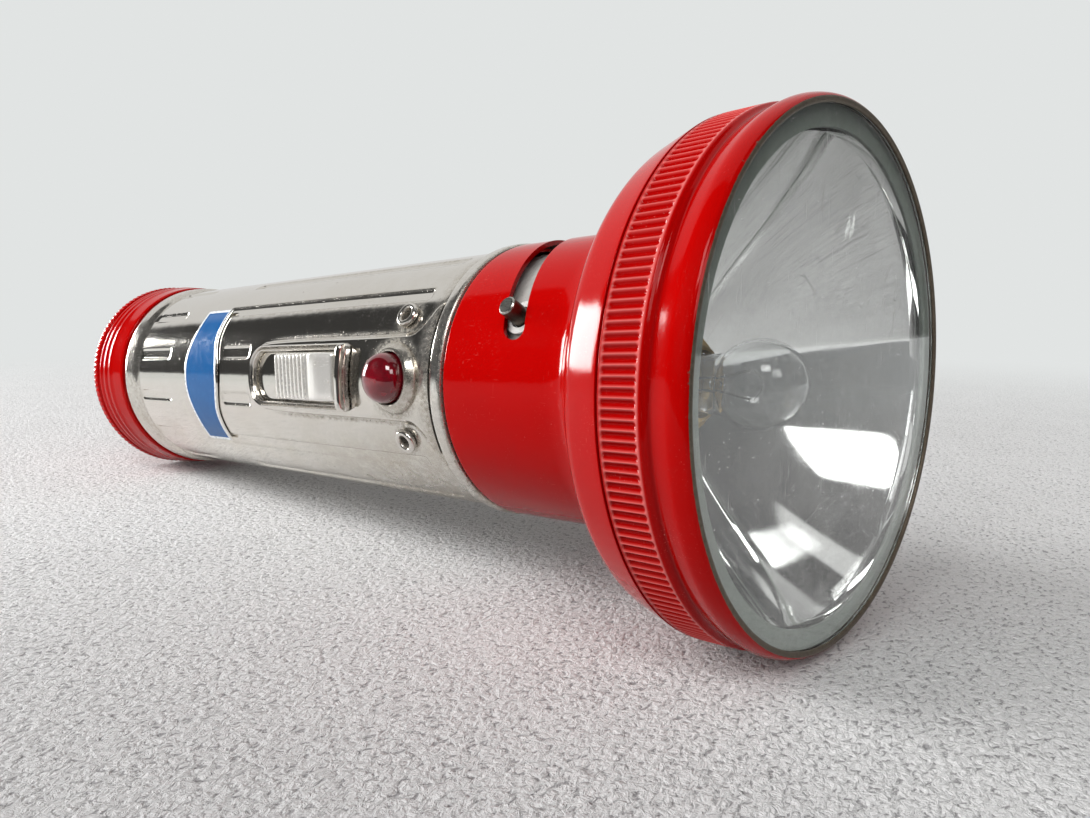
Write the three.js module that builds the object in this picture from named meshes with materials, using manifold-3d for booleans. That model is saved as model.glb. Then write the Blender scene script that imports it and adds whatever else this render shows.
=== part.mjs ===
// Focusing hand torch for two large round cells, lying on its side.
// Units are millimetres. The torch is drawn along its own axis first: s runs along the axis from the rear edge of
// the barrel (s = 0) towards the lens, r is the distance from the axis, and phi is the angle round the axis, 0 on
// the side that faces -Y and 90 degrees on top. The whole torch is then tilted, because it lies on the rim of its
// tail cap and on the wider rim of its head, and is centred over the origin with the floor at z = 0.
import * as THREE from 'three';
import { mergeVertices } from 'three/addons/utils/BufferGeometryUtils.js';
import Module from 'manifold-3d';

const wasm = await Module();
wasm.setup();

// ---------- driving dimensions ----------
const SIDES = 32;               // sides of the rims that the torch lies on, with a flat straight below
const BARREL_SIDES = 42;        // three facets for each of the fourteen rows of pressings
const BARREL_R = 19.0, BARREL_BORE = 18.3, BARREL_END = 99.3;
const BEAD_R = 19.8, BEAD_END = 5.8;
const PANEL_R = 19.7;           // raised panel under the switch and the button
const SWITCH_PHI = 4.8;         // the switch line sits a little above the horizontal
const ROWS = 14, ROW_STEP = 360 / ROWS;
const FLUTE_HALF = 1.3, FLUTE_FLOOR = 18.68;
const SHORT_ROW = [6.5, 20.6], SECOND_ROW = [41.4, 51.6], LONG_ROW = [37.6, 95.2];
const BADGE = {                 // broad in the middle, with narrower straight ends; edge gives [share of half, s rear, s front]
  phi: 5.0, half: 13.6, r0: 19.15, r1: 19.5,
  edge: [[0, 28.1, 41.0], [0.14, 28.1, 41.0], [0.33, 28.6, 40.3], [0.55, 29.4, 39.5], [0.78, 30.0, 39.3], [1, 30.4, 39.4]],
};
const FRAME = { s0: 54.8, s1: 82.0, half: 5.15, wall: 1.1, r0: 19.9, r1: 21.0 };
const SLIDE = { s0: 63.5, s1: 80.0, half: 3.7, travel: 5.8 };
const BUTTON = { s: 92.2, r: 3.55, top: 24.0, ring: 5.15 };
const RIVET = { s: 92.6, swing: 27 };
const FLANGE_R = 19.8, FLANGE_0 = 99.6, FLANGE_1 = 101.9;
const NECK_R = 19.62, NECK_BORE = 18.9, NECK_0 = 102.2;
const HEAD_R = 30.7, HEAD_END = 135.8;
const KNURL_R = 30.6, BEZEL_0 = 136.1, BEZEL_1 = 145.2;
const SLOT = { phi0: 24.2, phi1: 94.2, s0: 113.73, slope: 0.0747, half: 1.72 };
const STUD = { phi: 29.7, r: 1.25, top: 21.6 };
const SLEEVE_R = 17.9, SLEEVE_BORE = 17.3, SLEEVE_0 = 105.2, SLEEVE_1 = 127.0;
const BULB = { s: 135.5, r: 5.5, tip: 118.2, neck: 3.7, wall: 0.45 };
const REFLECTOR = { apex: 124.1, focus: 10.16, hole: 6.9, mouth: 27.1, flange: 29.3, front: 142.1 };
const CAP_R = 21.1, CAP_0 = -14.5, CAP_1 = -0.3, CAP_BORE = 18.75;
const CELL_R = 16.1, CELL_LENGTH = 61.4, CELL_0 = -5.2;

const TILT = Math.atan2(HEAD_R - CAP_R, HEAD_END - CAP_0);   // the line that touches both rims is level

// ---------- colours ----------
const look = (color, roughness, metalness, extra = {}) =>
  new THREE.MeshStandardMaterial({ color, roughness, metalness, ...extra });
const COLOURS = {
  red: [0xb00a06, 0.25, 0.1], chrome: [0xc9c8c3, 0.18, 1.0], steel: [0x9a9a93, 0.4, 1.0],
  brass: [0xb08a45, 0.35, 1.0], blue: [0x0a4f96, 0.3, 0.1], ruby: [0x5c0410, 0.1, 0.0],
  glass: [0xdfe8e6, 0.05, 0.0], mirror: [0xe6e6e2, 0.08, 1.0], card: [0x9c8460, 0.9, 0.0],
  cell: [0x2f3a44, 0.6, 0.1], fibre: [0x3a2a20, 0.8, 0.0], gasket: [0x5e6a58, 0.85, 0.0], wire: [0x55524c, 0.4, 1.0],
};

// ---------- geometry helpers ----------
const rad = (d) => (d * Math.PI) / 180;

// Merges vertices, drops collapsed triangles and turns the faces outwards.
function tidy(geometry) {
  const g = geometry.clone();
  for (const name of Object.keys(g.attributes)) if (name !== 'position') g.deleteAttribute(name);
  const m = mergeVertices(g, 1e-4);
  const index = m.index.array, p = m.attributes.position.array, keep = [];
  for (let i = 0; i < index.length; i += 3) {
    const [a, b, c] = [index[i], index[i + 1], index[i + 2]];
    if (a !== b && b !== c && a !== c) keep.push(a, b, c);
  }
  let volume = 0;
  for (let i = 0; i < keep.length; i += 3) {
    const [a, b, c] = [keep[i] * 3, keep[i + 1] * 3, keep[i + 2] * 3];
    volume += p[a] * (p[b + 1] * p[c + 2] - p[b + 2] * p[c + 1]) - p[a + 1] * (p[b] * p[c + 2] - p[b + 2] * p[c])
      + p[a + 2] * (p[b] * p[c + 1] - p[b + 1] * p[c]);
  }
  if (volume < 0) for (let i = 0; i < keep.length; i += 3) [keep[i + 1], keep[i + 2]] = [keep[i + 2], keep[i + 1]];
  const out = new THREE.BufferGeometry();
  out.setAttribute('position', new THREE.BufferAttribute(new Float32Array(p), 3));
  out.setIndex(keep);
  return out;
}

const solid = (geometry) => {
  const g = tidy(geometry);
  return new wasm.Manifold(new wasm.Mesh({
    numProp: 3, vertProperties: new Float32Array(g.attributes.position.array), triVerts: new Uint32Array(g.index.array),
  }));
};
const geometryOf = (manifold) => {
  const m = manifold.getMesh(), g = new THREE.BufferGeometry(), n = m.numProp;
  const p = new Float32Array((m.vertProperties.length / n) * 3);
  for (let i = 0; i < p.length / 3; i++) for (let k = 0; k < 3; k++) p[i * 3 + k] = m.vertProperties[i * n + k];
  g.setAttribute('position', new THREE.BufferAttribute(p, 3));
  g.setIndex(Array.from(m.triVerts));
  return g;
};

// A turned piece about the torch's axis from [s, r] points; r is the distance to the middle of a facet.
function turned(points, sides = SIDES) {
  const k = 1 / Math.cos(Math.PI / sides), closed = points[0][1] > 0;
  const list = (closed ? [...points, points[0]] : points).map(([s, r]) => new THREE.Vector2(r * k, s));
  return new THREE.LatheGeometry(list, sides, Math.PI / sides).rotateZ(-Math.PI / 2);
}

// Moves a geometry drawn with x along the torch, y round it and z outwards to the angle phi.
function radial(geometry, phi, s = 0) {
  const c = Math.cos(rad(phi)), d = Math.sin(rad(phi));
  return geometry.applyMatrix4(new THREE.Matrix4().set(1, 0, 0, s, 0, d, -c, 0, 0, c, d, 0, 0, 0, 0, 1));
}

// A flat outline in s and y, raised from z0 to z1 at the angle phi.
function prism(points, z0, z1, phi, s = 0, holes = []) {
  const shape = new THREE.Shape(points.map(([x, y]) => new THREE.Vector2(x, y)));
  for (const hole of holes) shape.holes.push(new THREE.Path(hole.map(([x, y]) => new THREE.Vector2(x, y))));
  return radial(new THREE.ExtrudeGeometry(shape, { depth: z1 - z0, bevelEnabled: false, steps: 1 }).translate(0, 0, z0), phi, s);
}

// A piece turned about a radial line at (s, phi), from [z, r] points.
function post(points, phi, s, sides = 20) {
  const closed = points[0][1] > 0;
  const list = (closed ? [...points, points[0]] : points).map(([z, r]) => new THREE.Vector2(r, z));
  return radial(new THREE.LatheGeometry(list, sides, Math.PI / sides).rotateX(Math.PI / 2), phi, s);
}

// The outline of a rectangle with cut corners, in s and across.
const roundOff = (s0, s1, half, corner) => {
  const pts = [], n = 1;
  for (const [cx, cy, a0] of [[s1 - corner, half - corner, 0], [s0 + corner, half - corner, 90],
    [s0 + corner, -half + corner, 180], [s1 - corner, -half + corner, 270]])
    for (let i = 0; i <= n; i++) {
      const a = rad(a0 + (90 * i) / n);
      pts.push([cx + corner * Math.cos(a), cy + corner * Math.sin(a)]);
    }
  return pts;
};
const mirrorY = (pts) => pts.map(([x, y]) => [x, -y]).reverse();
const ring = (s0, s1, r0, r1, sides = SIDES) => turned([[s0, r0], [s0, r1], [s1, r1], [s1, r0]], sides);

const torch = new THREE.Group();
const add = (name, geometry, colour, extra) => {
  const [c, rough, metal] = COLOURS[colour];
  const mesh = new THREE.Mesh(tidy(geometry), look(c, rough, metal, extra));
  mesh.name = name;
  torch.add(mesh);
  return mesh;
};

// ---------- barrel, with its rolled bead, raised panel, pressed flutes and cut-outs ----------
let barrel = solid(turned([
  [0, BARREL_BORE], [0, BEAD_R - 0.45], [0.5, BEAD_R - 0.05], [1.6, BEAD_R], [4.6, BEAD_R - 0.1], [5.4, BEAD_R - 0.3],
  [BEAD_END, BARREL_R], [BARREL_END, BARREL_R], [BARREL_END, BARREL_BORE],
], BARREL_SIDES));
const upper = [[97.9, 10.9], [96.9, 8.6], [95.6, 7.1], [94.0, 6.5], [57.5, 6.5], [54.6, 5.4], [53.0, 3.4], [52.3, 1.2]];
const panelOutline = [[99.2, 11.6], ...upper, ...mirrorY(upper), [99.2, -11.6]];
barrel = barrel.add(
  solid(ring(50, 99.2, 18.7, PANEL_R, BARREL_SIDES)).intersect(solid(prism(panelOutline, 12, 25, SWITCH_PHI))));
for (let k = 0; k < ROWS; k++) {
  const phi = SWITCH_PHI + (k + 0.5) * ROW_STEP;
  const flute = ([s0, s1]) => solid(prism(roundOff(s0, s1, FLUTE_HALF, 1.1), FLUTE_FLOOR, 21, phi));
  barrel = barrel.subtract(flute(SHORT_ROW));
  barrel = barrel.subtract(flute(k === 0 || k === ROWS - 1 ? SECOND_ROW : LONG_ROW));
}
barrel = barrel.subtract(solid(prism(roundOff(62.8, 74.6, 1.5, 0.6), 15, 25, SWITCH_PHI)));
barrel = barrel.subtract(solid(post([[15, 0], [15, 3.85], [25, 3.85], [25, 0]], SWITCH_PHI, BUTTON.s, 24)));
for (const side of [1, -1])
  barrel = barrel.subtract(solid(post([[15, 0], [15, 1.35], [25, 1.35], [25, 0]], SWITCH_PHI + side * RIVET.swing, RIVET.s, 16)));
add('barrel', geometryOf(barrel), 'chrome');

// ---------- blue badge, a bent plate pressed onto the barrel ----------
const b = BADGE, up = b.edge, down = b.edge.slice(1);
const badge = [
  ...down.slice().reverse().map(([t, , s]) => [s, -t * b.half]), ...up.map(([t, , s]) => [s, t * b.half]),
  ...up.slice().reverse().map(([t, s]) => [s, t * b.half]), ...down.map(([t, s]) => [s, -t * b.half]),
];
add('name_badge', geometryOf(
  solid(ring(20, 50, b.r0, b.r1, BARREL_SIDES)).intersect(solid(prism(badge, 10, 25, b.phi)))), 'blue');

// ---------- threaded ferrule in the rear of the barrel, tail cap and its spring ----------
add('tail_ferrule', turned([[-9.5, 17.3], [-9.5, 18.1], [-9.2, 18.3], [-0.3, 18.3], [-0.3, 18.0], [6.8, 18.0], [6.8, 17.3]]), 'steel');
add('tail_cap', turned([
  [CAP_0, 0], [CAP_0, CAP_R - 1.3], [CAP_0 + 0.25, CAP_R - 0.45], [CAP_0 + 0.8, CAP_R], [CAP_0 + 2.3, CAP_R], [CAP_0 + 2.7, CAP_R - 0.6],
  [CAP_0 + 3.9, CAP_R - 0.25], [CAP_0 + 5.1, CAP_R - 0.65], [CAP_0 + 6.3, CAP_R - 0.3], [CAP_0 + 7.5, CAP_R - 0.7],
  [CAP_0 + 8.7, CAP_R - 0.35], [CAP_0 + 10.0, CAP_R - 0.7], [CAP_1 - 0.5, CAP_R - 0.9], [CAP_1, CAP_R - 1.25],
  [CAP_1, CAP_BORE], [CAP_0 + 1.2, CAP_BORE], [CAP_0 + 1.2, 0],
]), 'red');
class Coil extends THREE.Curve {
  getPoint(t, target = new THREE.Vector3()) {
    const turns = 3.6, a = t * turns * 2 * Math.PI, r = 14.2 - 7.4 * t;
    const flat = Math.min(1, Math.max(0, (t - 0.16) / 0.68));
    return target.set(-12.5 + 6.3 * flat, r * Math.cos(a), r * Math.sin(a));
  }
}
const wireSection = new THREE.Shape();
for (let i = 0; i < 6; i++) {
  const a = (i / 6) * 2 * Math.PI;
  i ? wireSection.lineTo(0.45 * Math.cos(a), 0.45 * Math.sin(a)) : wireSection.moveTo(0.45, 0);
}
add('tail_spring', new THREE.ExtrudeGeometry(wireSection, { steps: 46, extrudePath: new Coil(), bevelEnabled: false }), 'steel');

// ---------- liner and two cells, each with its brass terminal ----------
add('cell_liner', ring(7.4, 86.0, 16.5, 16.85), 'card');
for (const [i, name] of [[0, 'cell_rear'], [1, 'cell_front']]) {
  const s = CELL_0 + i * (CELL_LENGTH + 0.3), top = s + CELL_LENGTH - 2.0;
  add(name, turned([[s, 0], [s, 15.2], [s + 0.5, CELL_R], [top - 0.5, CELL_R], [top, 15.2], [top, 5.3], [top - 1.2, 5.3], [top - 1.2, 0]]), 'cell');
  add(`${name}_terminal`, turned([[top - 0.9, 0], [top - 0.9, 4.9], [top + 1.4, 4.9], [top + 2.0, 4.2], [top + 2.0, 0]], 20), 'brass');
}

// ---------- slide switch ----------
const f = FRAME;
const frameOuter = [[f.s1, -f.half], [f.s1, f.half], ...[[57.9, f.half], [56.4, 4.7], [55.4, 3.6], [f.s0, 1.6]],
  ...[[f.s0, -1.6], [55.4, -3.6], [56.4, -4.7], [57.9, -f.half]]];
const inner = f.half - f.wall;
const frameInner = [[f.s1 - 1.3, -inner], [f.s1 - 1.3, inner], [58.1, inner], [57.0, 3.85], [56.3, 2.9], [55.9, 1.5],
  [55.9, -1.5], [56.3, -2.9], [57.0, -3.85], [58.1, -inner]];
const plate = (outline, r0, r1, phi, s0, s1, holes) =>
  solid(ring(s0, s1, r0, r1, BARREL_SIDES)).intersect(solid(prism(outline, 10, 25, phi, 0, holes)));
let frame = plate(frameOuter, f.r0, f.r1, SWITCH_PHI, 50, 90, [frameInner]);
frame = frame.add(solid(prism([[f.s1 - 1.25, -f.half + 0.2], [f.s1 - 0.05, -f.half + 0.2], [f.s1 - 0.05, f.half - 0.2], [f.s1 - 1.25, f.half - 0.2]], 20.4, 21.9, SWITCH_PHI)));
add('switch_frame', geometryOf(frame), 'chrome');

// The slide's outline from the side: seven ridges that climb towards the head, then a smooth ramp down.
const slideSide = [[SLIDE.s0, 20.05], [SLIDE.s0, 21.1]];
for (let i = 0; i < 7; i++) {
  const s = SLIDE.s0 + 0.5 + i * 1.55, z = 21.5 + i * 0.24;
  slideSide.push([s, z], [s + 0.7, z + 0.1], [s + 1.1, z - 0.45]);
}
slideSide.push([SLIDE.s0 + 11.9, 23.2], [SLIDE.s0 + 13.6, 23.1], [SLIDE.s1 - 0.9, 22.0], [SLIDE.s1, 21.6], [SLIDE.s1, 20.05]);
const slideShape = new THREE.Shape(slideSide.map(([x, z]) => new THREE.Vector2(x, z)));
const slideBlock = new THREE.ExtrudeGeometry(slideShape, { depth: 2 * SLIDE.half, bevelEnabled: false, steps: 1 })
  .translate(0, 0, -SLIDE.half).rotateX(Math.PI / 2).scale(1, -1, 1);
let slide = solid(radial(slideBlock, SWITCH_PHI));
slide = slide.add(solid(prism([[69, -1.1], [74.2, -1.1], [74.2, 1.1], [69, 1.1]], 18.15, 20.4, SWITCH_PHI)));
add('switch_slide', geometryOf(slide), 'chrome');
add('switch_wiper', prism([[66, -2.4], [77, -2.4], [77, 2.4], [66, 2.4]], 17.65, 17.95, SWITCH_PHI), 'brass');
add('contact_strip', prism([[60, -2.4], [87.4, -2.4], [87.4, 2.4], [60, 2.4]], 17.08, 17.38, SWITCH_PHI), 'brass');

// ---------- signal button, its ring, and the bracket that two tubular rivets hold inside the barrel ----------
add('signal_button', post([[18.0, 0], [18.0, BUTTON.r], [21.4, BUTTON.r], [22.3, 3.3], [23.2, 2.65], [23.8, 1.6], [BUTTON.top, 0]], SWITCH_PHI, BUTTON.s, 24), 'ruby');
add('signal_contact', post([[17.35, 0], [17.35, 4.0], [17.65, 4.0], [17.65, 0]], SWITCH_PHI, BUTTON.s, 20), 'brass');
add('button_ring', post([[19.9, 3.9], [19.9, BUTTON.ring], [20.4, BUTTON.ring], [20.9, 4.7], [21.1, 4.2], [21.0, 3.9]], SWITCH_PHI, BUTTON.s, 24), 'chrome');
let bracket = plate([[86.3, -10.6], [97.6, -10.6], [97.6, 10.6], [86.3, 10.6]], 17.8, 18.08, SWITCH_PHI, 80, 99);
bracket = bracket.subtract(solid(post([[15, 0], [15, 4.6], [25, 4.6], [25, 0]], SWITCH_PHI, BUTTON.s, 24)));
for (const side of [1, -1])
  bracket = bracket.subtract(solid(post([[15, 0], [15, 1.35], [25, 1.35], [25, 0]], SWITCH_PHI + side * RIVET.swing, RIVET.s, 16)));
add('inner_bracket', geometryOf(bracket), 'brass');
for (const [name, side] of [['rivet_upper', 1], ['rivet_lower', -1]])
  add(name, post([[17.1, 0.7], [17.1, 1.5], [17.3, 1.75], [17.55, 1.7], [17.6, 1.1], [19.15, 1.1], [19.2, 1.75], [19.7, 1.85], [20.1, 1.5],
    [20.15, 1.0], [19.8, 0.7]], SWITCH_PHI + side * RIVET.swing, RIVET.s, 16), 'chrome');

// ---------- collar between barrel and head ----------
add('front_collar', turned([[FLANGE_0, 18.25], [FLANGE_0, FLANGE_R - 0.3], [FLANGE_0 + 0.3, FLANGE_R], [FLANGE_1 - 0.4, FLANGE_R],
  [FLANGE_1, FLANGE_R - 0.4], [FLANGE_1, 18.6], [104.9, 18.6], [104.9, 18.25]]), 'chrome');

// ---------- head: neck with the helical slot, and bell ----------
let head = solid(turned([
  [NECK_0, NECK_BORE], [NECK_0, NECK_R - 0.3], [NECK_0 + 0.4, NECK_R], [119.6, NECK_R], [121.8, 20.0], [123.6, 21.2], [125.0, 23.0],
  [129.8, 28.4], [131.4, 29.8], [133.0, 30.55], [134.4, HEAD_R], [HEAD_END, HEAD_R], [HEAD_END, 29.4], [141.2, 29.4],
  [141.2, 28.7], [133.4, 28.7], [131.6, 28.4], [130.2, 27.3], [125.6, 22.2], [123.4, 19.9], [121.0, NECK_BORE],
]));
const cutter = new THREE.BoxGeometry(2, 1, 1, 1, 22, 1), cp = cutter.attributes.position;
const endPhi = (SLOT.half / NECK_R) * (180 / Math.PI), from = SLOT.phi0 - endPhi, to = SLOT.phi1 + endPhi;
for (let i = 0; i < cp.count; i++) {
  const t = cp.getY(i) + 0.5;
  // close steps at both ends, where the slot is round
  const u = t < 0.2 ? (t / 0.2) * 0.09 : t > 0.8 ? 1 - ((1 - t) / 0.2) * 0.09 : 0.09 + ((t - 0.2) / 0.6) * 0.82;
  const phi = from + (to - from) * u;
  const beyond = Math.max(0, SLOT.phi0 - phi, phi - SLOT.phi1) / endPhi;
  const half = SLOT.half * Math.max(0.28, Math.sqrt(Math.max(0, 1 - beyond * beyond)));
  const s = SLOT.s0 - SLOT.slope * (phi - SLOT.phi0) + Math.sign(cp.getX(i)) * half;
  const r = cp.getZ(i) > 0 ? 24 : 16;
  cp.setXYZ(i, s, -r * Math.cos(rad(phi)), r * Math.sin(rad(phi)));
}
head = head.subtract(solid(cutter));
add('head_shell', geometryOf(head), 'red');

// ---------- lamp carrier: sleeve, finger stud, disc, socket and bulb ----------
const studS = SLOT.s0 - SLOT.slope * (STUD.phi - SLOT.phi0);
let sleeve = solid(ring(SLEEVE_0, SLEEVE_1, SLEEVE_BORE, SLEEVE_R));
sleeve = sleeve.subtract(solid(post([[15, 0], [15, 1.5], [25, 1.5], [25, 0]], STUD.phi, studS, 16)));
add('lamp_sleeve', geometryOf(sleeve), 'steel');
add('focus_stud', post([[16.7, 0], [16.7, STUD.r], [STUD.top - 0.35, STUD.r], [STUD.top, STUD.r - 0.35], [STUD.top, 0]], STUD.phi, studS, 16), 'steel');
add('stud_washer', post([[18.12, 1.5], [18.12, 2.3], [18.5, 2.3], [18.5, 1.5]], STUD.phi, studS, 16), 'steel');
add('carrier_disc', ring(120.2, 121.6, 6.3, 17.0), 'fibre');
add('lamp_socket', turned([[119.2, 5.25], [119.2, 6.0], [126.6, 6.0], [126.6, 5.25]], 20), 'brass');
const bs = BULB.tip;
add('bulb_tip', turned([[bs, 0], [bs, 1.2], [bs + 0.5, 1.8], [bs + 0.9, 1.8], [bs + 0.9, 0]], 12), 'brass');
add('bulb_insulator', turned([[bs + 1.05, 0], [bs + 1.05, 2.6], [bs + 2.0, 4.3], [bs + 2.3, 4.3], [bs + 2.3, 0]], 16), 'fibre');
add('bulb_base', turned([[bs + 2.5, 4.2], [bs + 2.5, 4.75], [bs + 9.9, 4.75], [bs + 9.9, 4.2]], 20), 'brass');
const neckAngle = 180 - Math.asin(BULB.neck / BULB.r) * (180 / Math.PI);
const globe = (r, tip) => {
  const pts = [];
  for (let i = 0; i <= 7; i++) {
    const a = rad(neckAngle - (neckAngle * i) / 7);
    pts.push([BULB.s + r * Math.cos(a), i === 7 ? 0 : r * Math.sin(a)]);
  }
  return tip ? pts : pts.reverse();
};
add('bulb_glass', turned([...globe(BULB.r - BULB.wall, false), [126.2, BULB.neck - BULB.wall], [126.2, BULB.neck], ...globe(BULB.r, true)], 20),
  'glass', { transparent: true, opacity: 0.3 });
// Two support wires on a glass bead, and the filament arched between their tips.
const rod = (points, r) => {
  const section = new THREE.Shape();
  for (let i = 0; i < 6; i++) {
    const a = (i / 6) * 2 * Math.PI;
    i ? section.lineTo(r * Math.cos(a), r * Math.sin(a)) : section.moveTo(r, 0);
  }
  const path = new THREE.CatmullRomCurve3(points.map(([s, y, z]) => new THREE.Vector3(s, y, z)));
  return new THREE.ExtrudeGeometry(section, { steps: 8, extrudePath: path, bevelEnabled: false });
};
for (const [name, k] of [['filament_support_upper', 1], ['filament_support_lower', -1]])
  add(name, rod([[124.2, 0, k * 0.75], [128.6, 0, k * 0.75], [131.2, 0, k * 1.0], [134.3, 0, k * 1.75]], 0.16), 'wire');
add('bulb_bead', turned([[129.2, 0], [129.5, 0.42], [130.2, 0.42], [130.5, 0]], 10), 'glass');
add('bulb_filament', rod([[134.75, 0, -1.85], [135.35, 0.3, -0.9], [135.6, 0.4, 0], [135.35, 0.3, 0.9], [134.75, 0, 1.85]], 0.12), 'steel');

// ---------- reflector, gasket, lens and bezel ----------
const bowl = (r) => REFLECTOR.apex + (r * r) / (4 * REFLECTOR.focus);
const rr = [6.9, 10.0, 14.0, 18.0, 22.0, 24.8, 27.1];
add('reflector', turned([
  ...rr.map((r) => [bowl(r), r]), [REFLECTOR.front, REFLECTOR.flange], [REFLECTOR.front - 0.6, REFLECTOR.flange], [REFLECTOR.front - 0.6, 27.5],
  ...rr.slice().reverse().map((r) => [bowl(r) - 0.75, r + 0.25]),
]), 'mirror');
add('lens_gasket', ring(142.4, 142.7, 27.5, 29.3), 'gasket');
add('lens_glass', turned([[142.95, 0], [142.95, 29.35], [144.15, 29.35], [144.15, 0]]), 'glass', { transparent: true, opacity: 0.3 });
add('bezel_ring', turned([
  [BEZEL_0, 29.8], [BEZEL_0, KNURL_R - 0.3], [BEZEL_0 + 0.4, KNURL_R], [140.2, KNURL_R], [140.6, 30.2], [141.3, 30.2], [141.8, 30.6],
  [142.3, 30.75], [143.2, 30.75], [143.8, 30.5], [144.8, 30.4], [BEZEL_1, 30.1], [BEZEL_1, 29.0], [144.4, 29.0], [144.4, 29.8],
]), 'red');

// ---------- lay the torch down ----------
torch.rotation.y = -TILT;
const part = new THREE.Group();
part.add(torch);
part.updateMatrixWorld(true);
const box = new THREE.Box3().setFromObject(part, true);
torch.position.set(-(box.min.x + box.max.x) / 2, -(box.min.y + box.max.y) / 2, -box.min.z);
part.updateMatrixWorld(true);

export default part;
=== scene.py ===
"""The looks of an old plated focusing hand torch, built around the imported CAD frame.

Points are given along the torch's own axis: s from the barrel's rear edge towards the lens, r from the axis,
phi round it (0 faces -Y, 90 faces up), all in millimetres and degrees.
"""

import math

import bmesh
import bpy
import numpy as np
from mathutils import Matrix, Vector


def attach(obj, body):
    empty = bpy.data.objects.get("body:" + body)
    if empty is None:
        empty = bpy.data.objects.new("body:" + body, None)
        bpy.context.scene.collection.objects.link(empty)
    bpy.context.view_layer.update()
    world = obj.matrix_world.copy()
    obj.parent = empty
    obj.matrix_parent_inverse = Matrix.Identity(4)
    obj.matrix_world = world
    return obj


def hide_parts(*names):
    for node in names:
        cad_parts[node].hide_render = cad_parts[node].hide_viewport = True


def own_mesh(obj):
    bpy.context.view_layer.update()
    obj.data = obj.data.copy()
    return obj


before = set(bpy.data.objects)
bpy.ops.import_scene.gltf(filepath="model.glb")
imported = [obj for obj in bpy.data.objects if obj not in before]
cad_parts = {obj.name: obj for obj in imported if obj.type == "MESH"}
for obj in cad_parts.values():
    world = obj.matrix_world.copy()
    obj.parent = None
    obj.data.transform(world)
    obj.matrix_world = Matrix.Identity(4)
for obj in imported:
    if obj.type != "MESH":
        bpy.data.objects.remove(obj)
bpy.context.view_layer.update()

MM = 0.001
TILT = math.radians(3.6546461521068214)
CT, ST = math.cos(TILT), math.sin(TILT)
OX, OZ = -65.54537512630235, 22.070595520318626
SWITCH_PHI = 4.8
BUTTON_S = 92.2
RIVET_S, RIVET_SWING = 92.6, 27.0
SLOT_S0, SLOT_PHI0, SLOT_PHI1, SLOT_SLOPE, SLOT_HALF = 113.73, 24.2, 94.2, 0.0747, 1.72
STUD_PHI = 29.7
STUD_S = SLOT_S0 - SLOT_SLOPE * (STUD_PHI - SLOT_PHI0)


# ---------------------------------------------------------------- places and meshes
def place(s, y, z):
    """Points in the torch's own frame, in mm, to the row frame in metres."""
    s, y, z = np.broadcast_arrays(np.asarray(s, float), np.asarray(y, float), np.asarray(z, float))
    return np.stack([OX + s * CT - z * ST, y, OZ + s * ST + z * CT], -1) * MM


def polar(s, r, phi):
    a = np.radians(phi)
    return place(s, -np.asarray(r) * np.cos(a), np.asarray(r) * np.sin(a))


def radial(s, t, h, phi0):
    """s along the torch, t across (towards growing phi), h outwards, at the angle phi0."""
    a = math.radians(phi0)
    s, t, h = np.broadcast_arrays(np.asarray(s, float), np.asarray(t, float), np.asarray(h, float))
    return place(s, -h * math.cos(a) + t * math.sin(a), h * math.sin(a) + t * math.cos(a))


def smoothstep(a, b, x):
    t = np.clip((np.asarray(x, float) - a) / (b - a), 0, 1)
    return t * t * (3 - 2 * t)


def grid_faces(n, m, wrap_n=False, wrap_m=False):
    i = np.arange(n if wrap_n else n - 1)
    j = np.arange(m if wrap_m else m - 1)
    i, j = np.meshgrid(i, j, indexing="ij")
    i2, j2 = (i + 1) % n, (j + 1) % m
    return np.stack([i * m + j, i2 * m + j, i2 * m + j2, i * m + j2], -1).reshape(-1, 4)


def piece(name, verts, faces, material, body, replaced=(), sharp=35, weld=True, masks=None, outward=True):
    """A mesh piece that rides on a body and stands for CAD nodes."""
    me = bpy.data.meshes.new(name)
    me.from_pydata(np.asarray(verts, float).reshape(-1, 3).tolist(), [], [list(map(int, f)) for f in faces])
    if masks:
        for key, values in masks.items():
            attr = me.attributes.new(key, "FLOAT", "POINT")
            attr.data.foreach_set("value", np.asarray(values, np.float32).ravel())
    bm = bmesh.new()
    bm.from_mesh(me)
    if weld:
        bmesh.ops.remove_doubles(bm, verts=bm.verts, dist=2e-7)
    bmesh.ops.dissolve_degenerate(bm, edges=bm.edges, dist=1e-8)
    if outward:
        bmesh.ops.recalc_face_normals(bm, faces=bm.faces)
    bm.to_mesh(me)
    bm.free()
    me.validate()
    ob = bpy.data.objects.new(name, me)
    bpy.context.scene.collection.objects.link(ob)
    finish_shading(ob, sharp)
    if material is not None:
        me.materials.append(material)
    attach(ob, body)
    if replaced:
        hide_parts(*replaced)
    return ob


def finish_shading(ob, sharp):
    me = ob.data
    me.polygons.foreach_set("use_smooth", np.ones(len(me.polygons), bool))
    if sharp:
        me.set_sharp_from_angle(angle=math.radians(sharp))
    me.update()


def apply_modifiers(ob, sharp=35):
    bpy.context.view_layer.update()
    dg = bpy.context.evaluated_depsgraph_get()
    new = bpy.data.meshes.new_from_object(ob.evaluated_get(dg))
    ob.modifiers.clear()
    ob.data = new
    finish_shading(ob, sharp)
    return ob


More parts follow.
